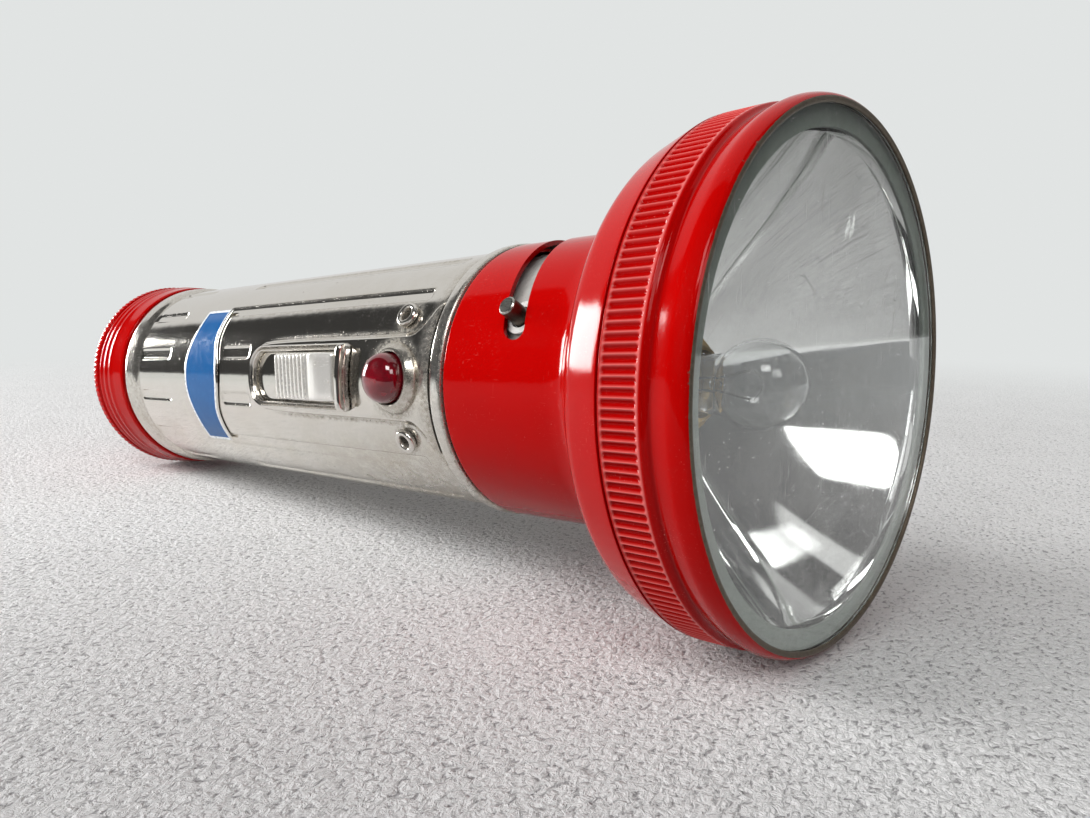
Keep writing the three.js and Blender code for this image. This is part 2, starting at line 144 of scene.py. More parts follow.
def rounded(points, n=4):
    """A polyline of (s, r) or (s, r, corner radius) points with its corners rounded."""
    out = []
    for i, p in enumerate(points):
        if len(p) < 3 or i in (0, len(points) - 1) or p[2] <= 0:
            out.append((p[0], p[1]))
            continue
        c = np.array(p[:2], float)
        a, b = np.array(points[i - 1][:2], float) - c, np.array(points[i + 1][:2], float) - c
        la, lb = np.linalg.norm(a), np.linalg.norm(b)
        k = min(p[2], 0.49 * la, 0.49 * lb)
        p0, p2 = c + a / la * k, c + b / lb * k
        for t in np.linspace(0, 1, n + 1):
            out.append(tuple((1 - t) ** 2 * p0 + 2 * t * (1 - t) * c + t * t * p2))
    return out


def denser(profile, step):
    out = [profile[0]]
    for a, b in zip(profile, profile[1:]):
        n = max(1, int(math.ceil(math.hypot(b[0] - a[0], b[1] - a[1]) / step)))
        for k in range(1, n + 1):
            out.append((a[0] + (b[0] - a[0]) * k / n, a[1] + (b[1] - a[1]) * k / n))
    return out


def turned(name, profile, material, body, replaced=(), n=128, closed=True, sharp=35, shape=None, masks=None, phi=None):
    """A piece turned round the torch's axis. shape(s, r, phi) may change r; masks give vertex weights."""
    p = np.array(profile, float)
    phi = np.arange(n) * 360.0 / n if phi is None else np.asarray(phi, float)
    s, f = np.meshgrid(p[:, 0], phi, indexing="ij")
    r = np.meshgrid(p[:, 1], phi, indexing="ij")[0]
    if shape:
        r = shape(s, r, f)
    verts = polar(s, r, f)
    faces = grid_faces(len(p), len(phi), closed, True)
    made = {k: fn(s, r, f) for k, fn in (masks or {}).items()}
    return piece(name, verts, faces, material, body, replaced, sharp, masks=made)


def post(name, profile, s0, phi0, material, body, replaced=(), n=48, closed=False, sharp=35, shape=None, masks=None):
    """A piece turned round a radial line at (s0, phi0), from (height, radius) points."""
    p = np.array(profile, float)
    a = np.arange(n) * 2 * math.pi / n
    h, ang = np.meshgrid(p[:, 0], a, indexing="ij")
    r = np.meshgrid(p[:, 1], a, indexing="ij")[0]
    if shape:
        h, r = shape(h, r, ang)
    verts = radial(s0 + r * np.cos(ang), r * np.sin(ang), h, phi0)
    made = {k: fn(h, r, ang) for k, fn in (masks or {}).items()}
    return piece(name, verts, grid_faces(len(p), n, closed, True), material, body, replaced, sharp, masks=made)


def swept(name, path, radius, material, body, replaced=(), sides=12, ends=True):
    """A round wire along points of the torch's own frame, in mm."""
    path = np.asarray(path, float)
    k = len(path)
    tan = np.gradient(path, axis=0)
    tan /= np.linalg.norm(tan, axis=1)[:, None]
    up = np.array([0.0, 0.0, 1.0]) if abs(tan[0][2]) < 0.9 else np.array([0.0, 1.0, 0.0])
    u = np.cross(tan[0], up)
    u /= np.linalg.norm(u)
    rings = []
    radius = np.broadcast_to(radius, (k,))
    for i in range(k):
        u = u - tan[i] * np.dot(u, tan[i])
        u /= np.linalg.norm(u)
        v = np.cross(tan[i], u)
        a = np.arange(sides) * 2 * math.pi / sides
        rings.append(path[i] + radius[i] * (np.cos(a)[:, None] * u + np.sin(a)[:, None] * v))
    pts = np.array(rings)
    verts = place(pts[..., 0], pts[..., 1], pts[..., 2]).reshape(-1, 3)
    faces = grid_faces(k, sides, False, True).tolist()
    if ends:
        faces.append(list(range(sides))[::-1])
        faces.append([(k - 1) * sides + i for i in range(sides)])
    return piece(name, verts, faces, material, body, replaced, 50)


# ---------------------------------------------------------------- materials
class Nodes:
    """Short names for building a material's node tree."""

    def __init__(self, name):
        self.m = bpy.data.materials.new(name)
        self.m.use_nodes = True
        self.t = self.m.node_tree
        self.t.nodes.clear()
        self.out = self.t.nodes.new("ShaderNodeOutputMaterial")
        coord = self.t.nodes.new("ShaderNodeTexCoord")
        mm = self.t.nodes.new("ShaderNodeMapping")
        mm.inputs["Scale"].default_value = (1000, 1000, 1000)
        self.link(coord.outputs["Object"], mm.inputs["Vector"])
        self.mm = mm.outputs["Vector"]

    def link(self, a, b):
        self.t.links.new(a, b)

    def put(self, socket, value):
        if isinstance(value, bpy.types.NodeSocket):
            self.link(value, socket)
        elif value is not None:
            if hasattr(socket.default_value, "__len__") and not hasattr(value, "__len__"):
                value = (value,) * len(socket.default_value)
            if hasattr(socket.default_value, "__len__") and len(value) == 3 and len(socket.default_value) == 4:
                value = (*value, 1.0)
            socket.default_value = value
        return socket

    def stretch(self, scale, rotate=(0, 0, 0), vector=None):
        n = self.t.nodes.new("ShaderNodeMapping")
        n.inputs["Scale"].default_value = scale
        n.inputs["Rotation"].default_value = rotate
        self.link(vector or self.mm, n.inputs["Vector"])
        return n.outputs["Vector"]

    def noise(self, scale, detail=4.0, rough=0.55, vector=None, distortion=0.0, colour=False):
        n = self.t.nodes.new("ShaderNodeTexNoise")
        n.inputs["Scale"].default_value = scale
        n.inputs["Detail"].default_value = detail
        n.inputs["Roughness"].default_value = rough
        n.inputs["Distortion"].default_value = distortion
        self.link(vector or self.mm, n.inputs["Vector"])
        return n.outputs["Color" if colour else "Fac"]

    def cells(self, scale, vector=None, randomness=1.0, feature="F1"):
        n = self.t.nodes.new("ShaderNodeTexVoronoi")
        n.feature = feature
        n.inputs["Scale"].default_value = scale
        n.inputs["Randomness"].default_value = randomness
        self.link(vector or self.mm, n.inputs["Vector"])
        return n

    def math(self, op, a, b=None, c=None, clamp=False):
        n = self.t.nodes.new("ShaderNodeMath")
        n.operation = op
        n.use_clamp = clamp
        for k, v in enumerate((a, b, c)):
            if v is not None:
                self.put(n.inputs[k], v)
        return n.outputs[0]

    def ramp(self, value, lo, hi, a=0.0, b=1.0):
        n = self.t.nodes.new("ShaderNodeMapRange")
        n.interpolation_type = "SMOOTHSTEP"
        self.put(n.inputs["Value"], value)
        self.put(n.inputs["From Min"], lo)
        self.put(n.inputs["From Max"], hi)
        self.put(n.inputs["To Min"], a)
        self.put(n.inputs["To Max"], b)
        return n.outputs[0]

    def mix(self, fac, a, b):
        n = self.t.nodes.new("ShaderNodeMix")
        n.data_type = "RGBA"
        self.put(n.inputs[0], fac)
        self.put(n.inputs[6], a)
        self.put(n.inputs[7], b)
        return n.outputs[2]

    def attribute(self, name):
        n = self.t.nodes.new("ShaderNodeAttribute")
        n.attribute_name = name
        return n.outputs["Fac"]

    def axis(self, which):
        n = self.t.nodes.new("ShaderNodeSeparateXYZ")
        self.link(self.mm, n.inputs[0])
        return n.outputs[which]

    def bump(self, height, strength, distance, normal=None):
        n = self.t.nodes.new("ShaderNodeBump")
        n.inputs["Strength"].default_value = strength
        n.inputs["Distance"].default_value = distance * MM
        self.put(n.inputs["Height"], height)
        if normal is not None:
            self.link(normal, n.inputs["Normal"])
        return n.outputs["Normal"]

    def shader(self, **values):
        n = self.t.nodes.new("ShaderNodeBsdfPrincipled")
        for key, value in values.items():
            self.put(n.inputs[key.replace("_", " ")], value)
        return n

    def done(self, shader):
        self.link(shader.outputs[0] if not isinstance(shader, bpy.types.NodeSocket) else shader, self.out.inputs["Surface"])
        return self.m


def plated(name, tint=(0.79, 0.762, 0.708), rough=0.07, dirt=1.0, specks=1.0, waves=0.5, solid=1.0):
    """Old nickel plate: bright and a little wavy, with rust pits, dull patches, fine scratches and grime."""
    k = Nodes(name)
    wear = k.attribute("wear")
    x, y, z = k.axis("X"), k.axis("Y"), k.axis("Z")
    front = k.ramp(x, -25.0, 38.0)
    under = k.ramp(z, 26.0, 8.0)
    worn_zone_and_floor_shadow = k.math("ADD", k.math("MULTIPLY", front, 0.6), k.math("MULTIPLY", under, 0.75))
    worn_zone_and_floor_shadow = k.math("ADD", worn_zone_and_floor_shadow, k.math("MULTIPLY", wear, 1.2), clamp=True)
    patch = k.ramp(k.noise(0.16, 5, 0.6), 0.36, 0.66)
    # pits: small dark brown spots, in crowds
    crowd = k.ramp(k.noise(0.42, 4, 0.7), 0.45, 0.64)
    crowd = k.math("MULTIPLY", crowd, worn_zone_and_floor_shadow, clamp=True)
    spot = k.ramp(k.noise(3.1, 3, 0.75), 0.66, 0.71)
    tiny = k.ramp(k.noise(7.5, 2, 0.7), 0.67, 0.72)
    lone = k.ramp(k.noise(1.15, 2, 0.5), 0.765, 0.79)
    pits = k.math("MULTIPLY", k.math("MAXIMUM", spot, tiny), k.math("ADD", crowd, k.math("MULTIPLY", wear, 0.6)), clamp=True)
    pits = k.math("MULTIPLY", k.math("MAXIMUM", pits, lone), specks, clamp=True)
    grime = k.math("MULTIPLY", k.math("MULTIPLY", wear, k.ramp(k.noise(1.6, 4, 0.65), 0.25, 0.7)), dirt, clamp=True)
    stain = k.math("MULTIPLY", k.math("MULTIPLY", front, under), k.ramp(k.noise(0.9, 5, 0.72), 0.28, 0.58, 0.35, 1.0))
    grime = k.math("MAXIMUM", grime, k.math("MULTIPLY", stain, dirt), clamp=True)
    dull = k.math("MULTIPLY", k.math("ADD", k.math("MULTIPLY", worn_zone_and_floor_shadow, 0.5), 0.12), patch, clamp=True)
    colour = k.mix(k.math("MULTIPLY", dull, 0.6), tint, (tint[0] * 0.78, tint[1] * 0.74, tint[2] * 0.66))
    colour = k.mix(k.math("MULTIPLY", grime, 0.76), colour, (0.17, 0.14, 0.098))
    colour = k.mix(pits, colour, (0.085, 0.048, 0.026))
    scratch = k.noise(1.0, 2, 0.5, k.stretch((0.35, 9.0, 9.0), (0.3, 0.2, 0.5)))
    scratch2 = k.noise(1.0, 2, 0.5, k.stretch((7.0, 0.4, 5.0), (0.6, 0.1, 0.9)))
    lines = k.math("MAXIMUM", k.ramp(scratch, 0.66, 0.70), k.ramp(scratch2, 0.68, 0.72))
    r = k.math("ADD", rough, k.math("MULTIPLY", dull, 0.10))
    r = k.math("ADD", r, k.math("MULTIPLY", lines, 0.07))
    r = k.math("ADD", r, k.math("MULTIPLY", grime, 0.30))
    r = k.math("ADD", r, k.math("MULTIPLY", pits, 0.45), clamp=True)
    metal = k.math("SUBTRACT", solid, k.math("MULTIPLY", k.math("MAXIMUM", pits, k.math("MULTIPLY", grime, 0.4)), 0.6))
    n = k.bump(k.noise(0.22, 2, 0.5), waves, 0.05)
    n = k.bump(k.math("SUBTRACT", k.math("MULTIPLY", k.noise(11.0, 2, 0.6), 0.12), pits), 0.35, 0.03, n)
    return k.done(k.shader(Base_Color=colour, Metallic=metal, Roughness=r, Normal=n))


def enamel(name):
    """Thick glossy red enamel with a faint orange peel, hair scratches, dust, and bare metal where it has worn off;
    painted shade darkens recesses and painted highlights run along knurl crests.
    """
    k = Nodes(name)
    wear = k.attribute("wear")
    tone = k.noise(0.07, 4, 0.55)
    red = k.mix(tone, (0.275, 0.0005, 0.0004), (0.330, 0.0008, 0.0005))
    # painted shade: grooves, knurl valleys and the inside of the neck are darkened to a deep red, as if shadowed
    depth_tone_and_painted_shade = k.attribute("depth_tone_and_painted_shade")
    red = k.mix(k.math("MULTIPLY", depth_tone_and_painted_shade, 0.75), red, (0.11, 0.0005, 0.0007))
    # painted highlight: pale pink streaks along the knurl crests
    red = k.mix(k.math("MULTIPLY", k.attribute("crest"), 0.42), red, (0.66, 0.22, 0.205))
    chips = k.ramp(k.math("ADD", k.noise(1.35, 5, 0.7), k.math("MULTIPLY", wear, 0.62)), 0.80, 0.86)
    lone = k.math("MULTIPLY", k.ramp(k.noise(0.95, 3, 0.6), 0.755, 0.775), k.ramp(k.noise(0.09, 2, 0.5), 0.52, 0.62))
    bare = k.math("MAXIMUM", chips, lone)
    metal_tone = k.mix(k.noise(2.2, 5, 0.7), (0.030, 0.020, 0.014), (0.20, 0.165, 0.125))
    scratch = k.noise(1.0, 2, 0.5, k.stretch((0.5, 8.0, 8.0), (0.5, 0.9, 0.2)))
    scratch2 = k.noise(1.0, 1, 0.5, k.stretch((9.0, 9.0, 0.45), (0.25, 0.35, 0.1)))
    lines = k.math("MULTIPLY", k.math("MAXIMUM", k.ramp(scratch, 0.70, 0.73), k.ramp(scratch2, 0.72, 0.75)), k.ramp(k.noise(0.12, 2, 0.5), 0.48, 0.64))
    dust = k.math("MULTIPLY", k.ramp(k.noise(5.5, 2, 0.6), 0.68, 0.74), k.ramp(k.noise(0.18, 3, 0.6), 0.46, 0.66))
    colour = k.mix(k.math("MULTIPLY", lines, 0.30), red, (0.66, 0.13, 0.11))
    colour = k.mix(k.math("MULTIPLY", dust, 0.35), colour, (0.60, 0.26, 0.23))
    colour = k.mix(bare, colour, metal_tone)
    r = k.math("ADD", 0.055, k.math("MULTIPLY", k.noise(0.25, 4, 0.6), 0.06))
    r = k.math("ADD", r, k.math("MULTIPLY", k.math("MAXIMUM", lines, dust), 0.18))
    r = k.math("ADD", r, k.math("MULTIPLY", bare, 0.34), clamp=True)
    n = k.bump(k.noise(0.35, 2, 0.5), 0.30, 0.05)
    n = k.bump(k.noise(2.3, 3, 0.55), 0.10, 0.03, n)
    n = k.bump(k.math("MULTIPLY", bare, -1.0), 0.5, 0.06, n)
    return k.done(k.shader(Base_Color=colour, Metallic=k.math("MULTIPLY", bare, 0.55), Roughness=r, Normal=n, Specular_IOR_Level=0.10))


def metal(name, dark, light, rough=(0.3, 0.5), metallic=1.0, spots=0.5, scale=1.0):
    """Plain old metal: two tones in clouds, brushed lines and pits."""
    k = Nodes(name)
    cloud = k.noise(0.45 * scale, 5, 0.65)
    colour = k.mix(cloud, dark, light)
    pits = k.math("MULTIPLY", k.ramp(k.noise(3.4 * scale, 3, 0.7), 0.62, 0.70), spots, clamp=True)
    colour = k.mix(pits, colour, tuple(0.28 * c for c in dark))
    line = k.noise(1.0, 3, 0.6, k.stretch((0.6 * scale, 7.0 * scale, 7.0 * scale)))
    r = k.ramp(k.math("ADD", k.math("MULTIPLY", cloud, 0.5), k.math("MULTIPLY", line, 0.5)), 0.3, 0.7, rough[0], rough[1])
    r = k.math("ADD", r, k.math("MULTIPLY", pits, 0.25), clamp=True)
    n = k.bump(line, 0.12, 0.03)
    n = k.bump(k.noise(2.6 * scale, 4, 0.7), 0.25, 0.04, n)
    return k.done(k.shader(Base_Color=colour, Metallic=metallic, Roughness=r, Normal=n))


def blue_enamel(name):
    k = Nodes(name)
    cloud = k.noise(0.5, 4, 0.6)
    colour = k.mix(cloud, (0.006, 0.060, 0.185), (0.012, 0.085, 0.235))
    worn = k.ramp(k.noise(2.4, 4, 0.7), 0.68, 0.73)
    colour = k.mix(k.math("MULTIPLY", worn, 0.6), colour, (0.20, 0.30, 0.42))
    r = k.ramp(k.noise(1.1, 4, 0.6), 0.3, 0.7, 0.10, 0.18)
    n = k.bump(k.noise(1.4, 3, 0.55), 0.06, 0.03)
    return k.done(k.shader(Base_Color=colour, Roughness=r, Normal=n, Specular_IOR_Level=0.25))


def white_line(name):
    k = Nodes(name)
    colour = k.mix(k.noise(1.6, 4, 0.65), (0.52, 0.56, 0.60), (0.82, 0.84, 0.84))
    colour = k.mix(k.math("MULTIPLY", k.ramp(k.noise(3.0, 3, 0.7), 0.62, 0.70), 0.7), colour, (0.10, 0.17, 0.26))
    return k.done(k.shader(Base_Color=colour, Metallic=0.35, Roughness=k.ramp(k.noise(2.0, 3), 0.3, 0.7, 0.22, 0.4)))


def ruby(name):
    """A moulded dark red glass button, with a little depth."""
    k = Nodes(name)
    depth_tone_and_painted_shade = k.ramp(k.noise(0.55, 3, 0.5), 0.3, 0.7)
    colour = k.mix(depth_tone_and_painted_shade, (0.095, 0.0012, 0.0050), (0.20, 0.0022, 0.0095))
    n = k.bump(k.noise(0.6, 3, 0.55), 0.14, 0.06)
    n = k.bump(k.ramp(k.noise(6.0, 2, 0.6), 0.66, 0.72), 0.15, 0.02, n)
    r = k.ramp(k.noise(1.3, 4, 0.6), 0.35, 0.7, 0.045, 0.13)
    return k.done(k.shader(Base_Color=colour, Roughness=r, Normal=n, Coat_Weight=1.0, Coat_Roughness=0.03, Transmission_Weight=0.25, IOR=1.52))


def see_through(k, solid):
    """Glass that lets lamps through, so that what stands behind it is lit."""
    path = k.t.nodes.new("ShaderNodeLightPath")
    clear = k.t.nodes.new("ShaderNodeBsdfTransparent")
    clear.inputs[0].default_value = (0.94, 0.95, 0.945, 1)
    mix = k.t.nodes.new("ShaderNodeMixShader")
    k.link(path.outputs["Is Shadow Ray"], mix.inputs[0])
    k.link(solid, mix.inputs[1])
    k.link(clear.outputs[0], mix.inputs[2])
    return mix.outputs[0]


def lens_glass(name):
    """Flat window glass with a green edge, long scratches, chips of dirt and dust."""
    k = Nodes(name)
    glass = k.shader(Base_Color=(0.985, 0.995, 0.99), Roughness=0.0, Transmission_Weight=1.0, IOR=1.5)
    fine = k.bump(k.noise(0.06, 2, 0.5), 0.04, 0.05)
    k.link(fine, glass.inputs["Normal"])
    dusty = k.ramp(k.noise(0.085, 3, 0.6), 0.46, 0.66)
    low = k.math("MULTIPLY", k.ramp(k.axis("Z"), 44.0, 20.0), k.ramp(k.axis("Y"), -26.0, 4.0, 0.35, 1.0))
    dusty = k.math("MAXIMUM", k.math("MULTIPLY", dusty, 0.35), low)
    specks = k.math("MULTIPLY", k.ramp(k.noise(3.1, 2.5, 0.68), k.math("SUBTRACT", 0.72, k.math("MULTIPLY", dusty, 0.075)), 0.745), k.ramp(dusty, 0, 1, 0.15, 0.9))
    dash = k.noise(1.0, 1, 0.5, k.stretch((2.0, 1.4, 3.6), (0.8, 0.0, 0.0)))
    dashes = k.math("MULTIPLY", k.ramp(dash, 0.755, 0.785), 0.55)
    hair = k.noise(1.0, 1.5, 0.5, k.stretch((1.0, 5.5, 0.16), (0.62, 0.0, 0.0)))
    hairs = k.math("MULTIPLY", k.ramp(hair, 0.735, 0.755), 0.45)
    hair2 = k.noise(1.0, 1.5, 0.5, k.stretch((1.0, 4.5, 0.14), (-0.5, 0.0, 0.0)))
    hairs = k.math("MAXIMUM", hairs, k.math("MULTIPLY", k.ramp(hair2, 0.76, 0.78), 0.35))
    marks = k.math("MAXIMUM", k.math("MAXIMUM", specks, dashes), hairs, clamp=True)
    film = k.math("MULTIPLY", k.ramp(k.noise(0.12, 5, 0.7), 0.35, 0.75), k.math("ADD", 0.03, k.math("MULTIPLY", low, 0.05)))
    marks = k.math("ADD", marks, film, clamp=True)
    dust = k.shader(Base_Color=k.mix(k.noise(2.0, 2), (0.62, 0.62, 0.60), (0.86, 0.86, 0.84)), Roughness=0.8)
    mix = k.t.nodes.new("ShaderNodeMixShader")
    k.link(marks, mix.inputs[0])
    k.link(glass.outputs[0], mix.inputs[1])
    k.link(dust.outputs[0], mix.inputs[2])
    return k.done(see_through(k, mix.outputs[0]))


def bulb_glass_material(name):
    k = Nodes(name)
    n = k.bump(k.noise(0.5, 3, 0.5), 0.12, 0.05)
    glass = k.shader(Base_Color=(0.97, 0.975, 0.975), Roughness=0.0, Transmission_Weight=1.0, IOR=1.47, Normal=n)
    film = k.math("MULTIPLY", k.ramp(k.noise(0.8, 4, 0.65), 0.45, 0.8), 0.10)
    dust = k.shader(Base_Color=(0.72, 0.71, 0.69), Roughness=0.6)
    mix = k.t.nodes.new("ShaderNodeMixShader")
    k.link(film, mix.inputs[0])
    k.link(glass.outputs[0], mix.inputs[1])
    k.link(dust.outputs[0], mix.inputs[2])
    return k.done(see_through(k, mix.outputs[0]))


def silvered(name):
    """The reflector: bright silvered metal, faintly wavy, with dust and small lost spots."""
    k = Nodes(name)
    spots = k.ramp(k.noise(1.55, 2, 0.5), 0.775, 0.79)
    haze = k.math("MULTIPLY", k.ramp(k.noise(0.22, 5, 0.65), 0.42, 0.72), 0.05)
    colour = k.mix(haze, (0.95, 0.955, 0.95), (0.70, 0.70, 0.69))
    colour = k.mix(spots, colour, (0.03, 0.025, 0.02))
    grain = k.ramp(k.noise(4.4, 3, 0.7), 0.64, 0.72)
    r = k.math("ADD", 0.035, k.math("MULTIPLY", haze, 1.2))
    r = k.math("ADD", r, k.math("MULTIPLY", grain, 0.05))
    r = k.math("ADD", r, k.math("MULTIPLY", spots, 0.5), clamp=True)
    n = k.bump(k.noise(0.11, 2, 0.5), 0.35, 0.06)
    n = k.bump(grain, 0.06, 0.02, n)
    return k.done(k.shader(Base_Color=colour, Metallic=k.math("SUBTRACT", 1.0, spots), Roughness=r, Normal=n))


def matt(name, a, b, rough=(0.6, 0.85), scale=1.0, grain=0.3):
    """Card, fibre, rubber and cell jackets: mottled, matt, with a fine grain."""
    k = Nodes(name)
    colour = k.mix(k.noise(0.6 * scale, 5, 0.65), a, b)
    fibre = k.noise(1.0, 4, 0.65, k.stretch((1.2 * scale, 6 * scale, 6 * scale)))
    colour = k.mix(k.math("MULTIPLY", k.ramp(fibre, 0.55, 0.75), 0.35), colour, tuple(0.55 * c for c in a))
    r = k.ramp(k.noise(1.8 * scale, 4, 0.6), 0.3, 0.7, rough[0], rough[1])
    return k.done(k.shader(Base_Color=colour, Roughness=r, Normal=k.bump(fibre, grain, 0.05)))


CHROME = plated("nickel_plate")
CHROME_TRIM = plated("nickel_plate_trim", tint=(0.83, 0.805, 0.76), rough=0.085, specks=0.8, waves=0.15)
CHROME_RUSTY = plated("nickel_plate_rusty", tint=(0.74, 0.71, 0.65), rough=0.12, dirt=1.0, specks=1.0, waves=0.15)
CHROME_SATIN = plated("nickel_plate_satin", tint=(0.86, 0.84, 0.80), rough=0.20, specks=0.8, waves=0.15, solid=0.65)
RED = enamel("red_enamel")
BLUE = blue_enamel("blue_enamel")
WHITE = white_line("white_enamel_line")
RUBY = ruby("ruby_glass")
BRASS = metal("old_brass", (0.30, 0.19, 0.075), (0.62, 0.45, 0.20), (0.26, 0.45))
STEEL = metal("old_steel", (0.17, 0.165, 0.155), (0.42, 0.41, 0.39), (0.28, 0.5))
SLEEVE = metal("worn_zinc_sleeve", (0.30, 0.295, 0.28), (0.60, 0.59, 0.56), (0.35, 0.5), metallic=0.3, spots=1.0)
WASHER = metal("bright_washer", (0.60, 0.59, 0.57), (0.86, 0.85, 0.82), (0.25, 0.4), metallic=0.3, spots=0.4)
STUD = metal("worn_stud", (0.060, 0.045, 0.035), (0.17, 0.14, 0.115), (0.3, 0.5), spots=0.6, scale=1.6)
STUD_TOP = metal("stud_top", (0.30, 0.29, 0.265), (0.68, 0.665, 0.62), (0.2, 0.4), spots=1.0, scale=1.8)
WIRE = metal("support_wire", (0.035, 0.032, 0.030), (0.12, 0.11, 0.10), (0.35, 0.55), metallic=0.8, scale=2.0)
TUNGSTEN = metal("tungsten", (0.10, 0.10, 0.10), (0.26, 0.26, 0.26), (0.35, 0.5), scale=3.0)
LENS = lens_glass("window_glass")
BULB = bulb_glass_material("bulb_glass")
MIRROR = silvered("silvered_reflector")
GASKET = matt("grey_green_gasket", (0.150, 0.175, 0.152), (0.27, 0.30, 0.272), (0.35, 0.55), grain=0.15)
FIBRE = matt("vulcan_fibre", (0.085, 0.028, 0.018), (0.17, 0.055, 0.032))
CARD = matt("brown_card", (0.30, 0.20, 0.11), (0.46, 0.33, 0.20))
JACKET = matt("cell_jacket", (0.028, 0.05, 0.085), (0.05, 0.085, 0.13), (0.4, 0.6))

FINISH = {
    "tail_ferrule": STEEL, "cell_liner": CARD, "cell_rear": JACKET, "cell_front": JACKET, "cell_rear_terminal": BRASS,
    "cell_front_terminal": BRASS, "switch_wiper": BRASS, "contact_strip": BRASS, "signal_contact": BRASS,
    "inner_bracket": BRASS, "carrier_disc": FIBRE, "lamp_socket": BRASS, "bulb_tip": BRASS, "bulb_insulator": FIBRE,
}
for node, material in FINISH.items():
    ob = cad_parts[node]
    ob.data.materials.clear()
    ob.data.materials.append(material)


# ---------------------------------------------------------------- barrel
PANEL_EDGE = [(97.9, 10.9), (96.9, 8.6), (95.6, 7.1), (94.0, 6.5), (57.5, 6.5), (54.6, 5.4), (53.0, 3.4), (52.3, 1.2)]


def inside_distance(px, py, poly):
    """Signed distance to a closed polygon, positive inside."""
    poly = np.asarray(poly, float)
    d = np.full(px.shape, 1e9)
    inside = np.zeros(px.shape, bool)
    for (x0, y0), (x1, y1) in zip(poly, np.roll(poly, -1, axis=0)):
        ex, ey = x1 - x0, y1 - y0
        t = np.clip(((px - x0) * ex + (py - y0) * ey) / (ex * ex + ey * ey), 0, 1)
        d = np.minimum(d, np.hypot(px - (x0 + t * ex), py - (y0 + t * ey)))
        cross = ((y0 > py) != (y1 > py)) & (px < (x1 - x0) * (py - y0) / (y1 - y0 + 1e-30) + x0)
        inside ^= cross
    return np.where(inside, d, -d)


def smooth_outline(points, rounds=2):
    """Corner-cutting, to turn a polygon into a soft closed outline."""
    p = np.asarray(points, float)
    for _ in range(rounds):
        q = np.roll(p, -1, axis=0)
        p = np.stack([0.75 * p + 0.25 * q, 0.25 * p + 0.75 * q], 1).reshape(-1, 2)
    return p


def box_distance(x, y, x0, x1, half, corner):
    cx, hx = (x0 + x1) / 2, (x1 - x0) / 2
    qx, qy = np.abs(x - cx) - hx + corner, np.abs(y) - half + corner
    return -(np.hypot(np.maximum(qx, 0), np.maximum(qy, 0)) + np.minimum(np.maximum(qx, qy), 0) - corner)


ROWS = [SWITCH_PHI + (k + 0.5) * 360 / 14 for k in range(14)]


def wrap(a):
    return (np.asarray(a) + 180.0) % 360.0 - 180.0


def stations(lo, hi, coarse, fine, zones):
    """Steps from lo to hi, fine inside the zones (a, b) and coarse elsewhere."""
    out, x = [lo], lo
    while x < hi - 1e-9:
        here = fine if any(a - fine <= x < b for a, b in zones) else coarse
        nxt = min([a for a, b in zones if x + 1e-9 < a < x + here] + [x + here, hi])
        out.append(nxt)
        x = nxt
    if len(out) > 2 and out[-1] - out[-2] < 0.4 * fine:
        out.pop(-2)
    return np.array(out)


def barrel_radius(s, phi):
    base = np.interp(s, [0, 0.25, 0.7, 1.6, 3.2, 4.5, 5.2, 5.8, 6.4], [19.15, 19.5, 19.72, 19.78, 19.72, 19.64, 19.44, 19.06, 19.0])
    t = np.radians(wrap(phi - SWITCH_PHI)) * 19.3
    outline = [(101.5, 12.6)] + [(a, b - 0.05) for a, b in PANEL_EDGE] + [(a, -b + 0.05) for a, b in PANEL_EDGE[::-1]] + [(101.5, -12.6)]
    d = inside_distance(s, t, smooth_outline(outline, 2))
    r = base + 0.66 * smoothstep(0.02, 0.95, d)
    groove = np.exp(-((d + 0.12) / 0.30) ** 2) * (np.abs(t) < 14) * smoothstep(51, 53, s)
    r = r - 0.05 * groove
    dirt = np.exp(-((d + 0.05) / 0.42) ** 2) * smoothstep(56, 66, s)
    for k, row in enumerate(ROWS):
        u = np.radians(wrap(phi - row)) * 19.0
        second = (41.4, 51.6) if k in (0, 13) else (37.6, 95.2)
        for a, b in ((6.5, 20.6), second):
            e = box_distance(s, u, a, b, 1.28, 0.95)
            r = r - 0.30 * smoothstep(-0.02, 0.62, e)
            dirt = np.maximum(dirt, 0.55 * np.exp(-((e - 0.05) / 0.26) ** 2) * smoothstep(20, 60, s))
    r = r - 0.12 * smoothstep(98.7, 99.3, s)
    dirt = np.maximum(dirt, smoothstep(96.2, 99.2, s) * 0.9)
    dirt = np.maximum(dirt, 0.42 * smoothstep(6.3, 5.0, s))
    dirt = np.maximum(dirt, 0.6 * smoothstep(1.2, 0.0, s))
    dirt = np.maximum(dirt, 0.6 * np.exp(-((s - 6.1) / 0.5) ** 2))
    # grime round the rivets and the button
    for ph, sc, rad in ((SWITCH_PHI, BUTTON_S, 5.15), (SWITCH_PHI + RIVET_SWING, RIVET_S, 1.85), (SWITCH_PHI - RIVET_SWING, RIVET_S, 1.85)):
        q = np.hypot(s - sc, np.radians(wrap(phi - ph)) * 19.3)
        dirt = np.maximum(dirt, 0.9 * np.exp(-(np.maximum(q - rad, 0) / 0.75) ** 2))
    return r, np.clip(dirt, 0, 1)


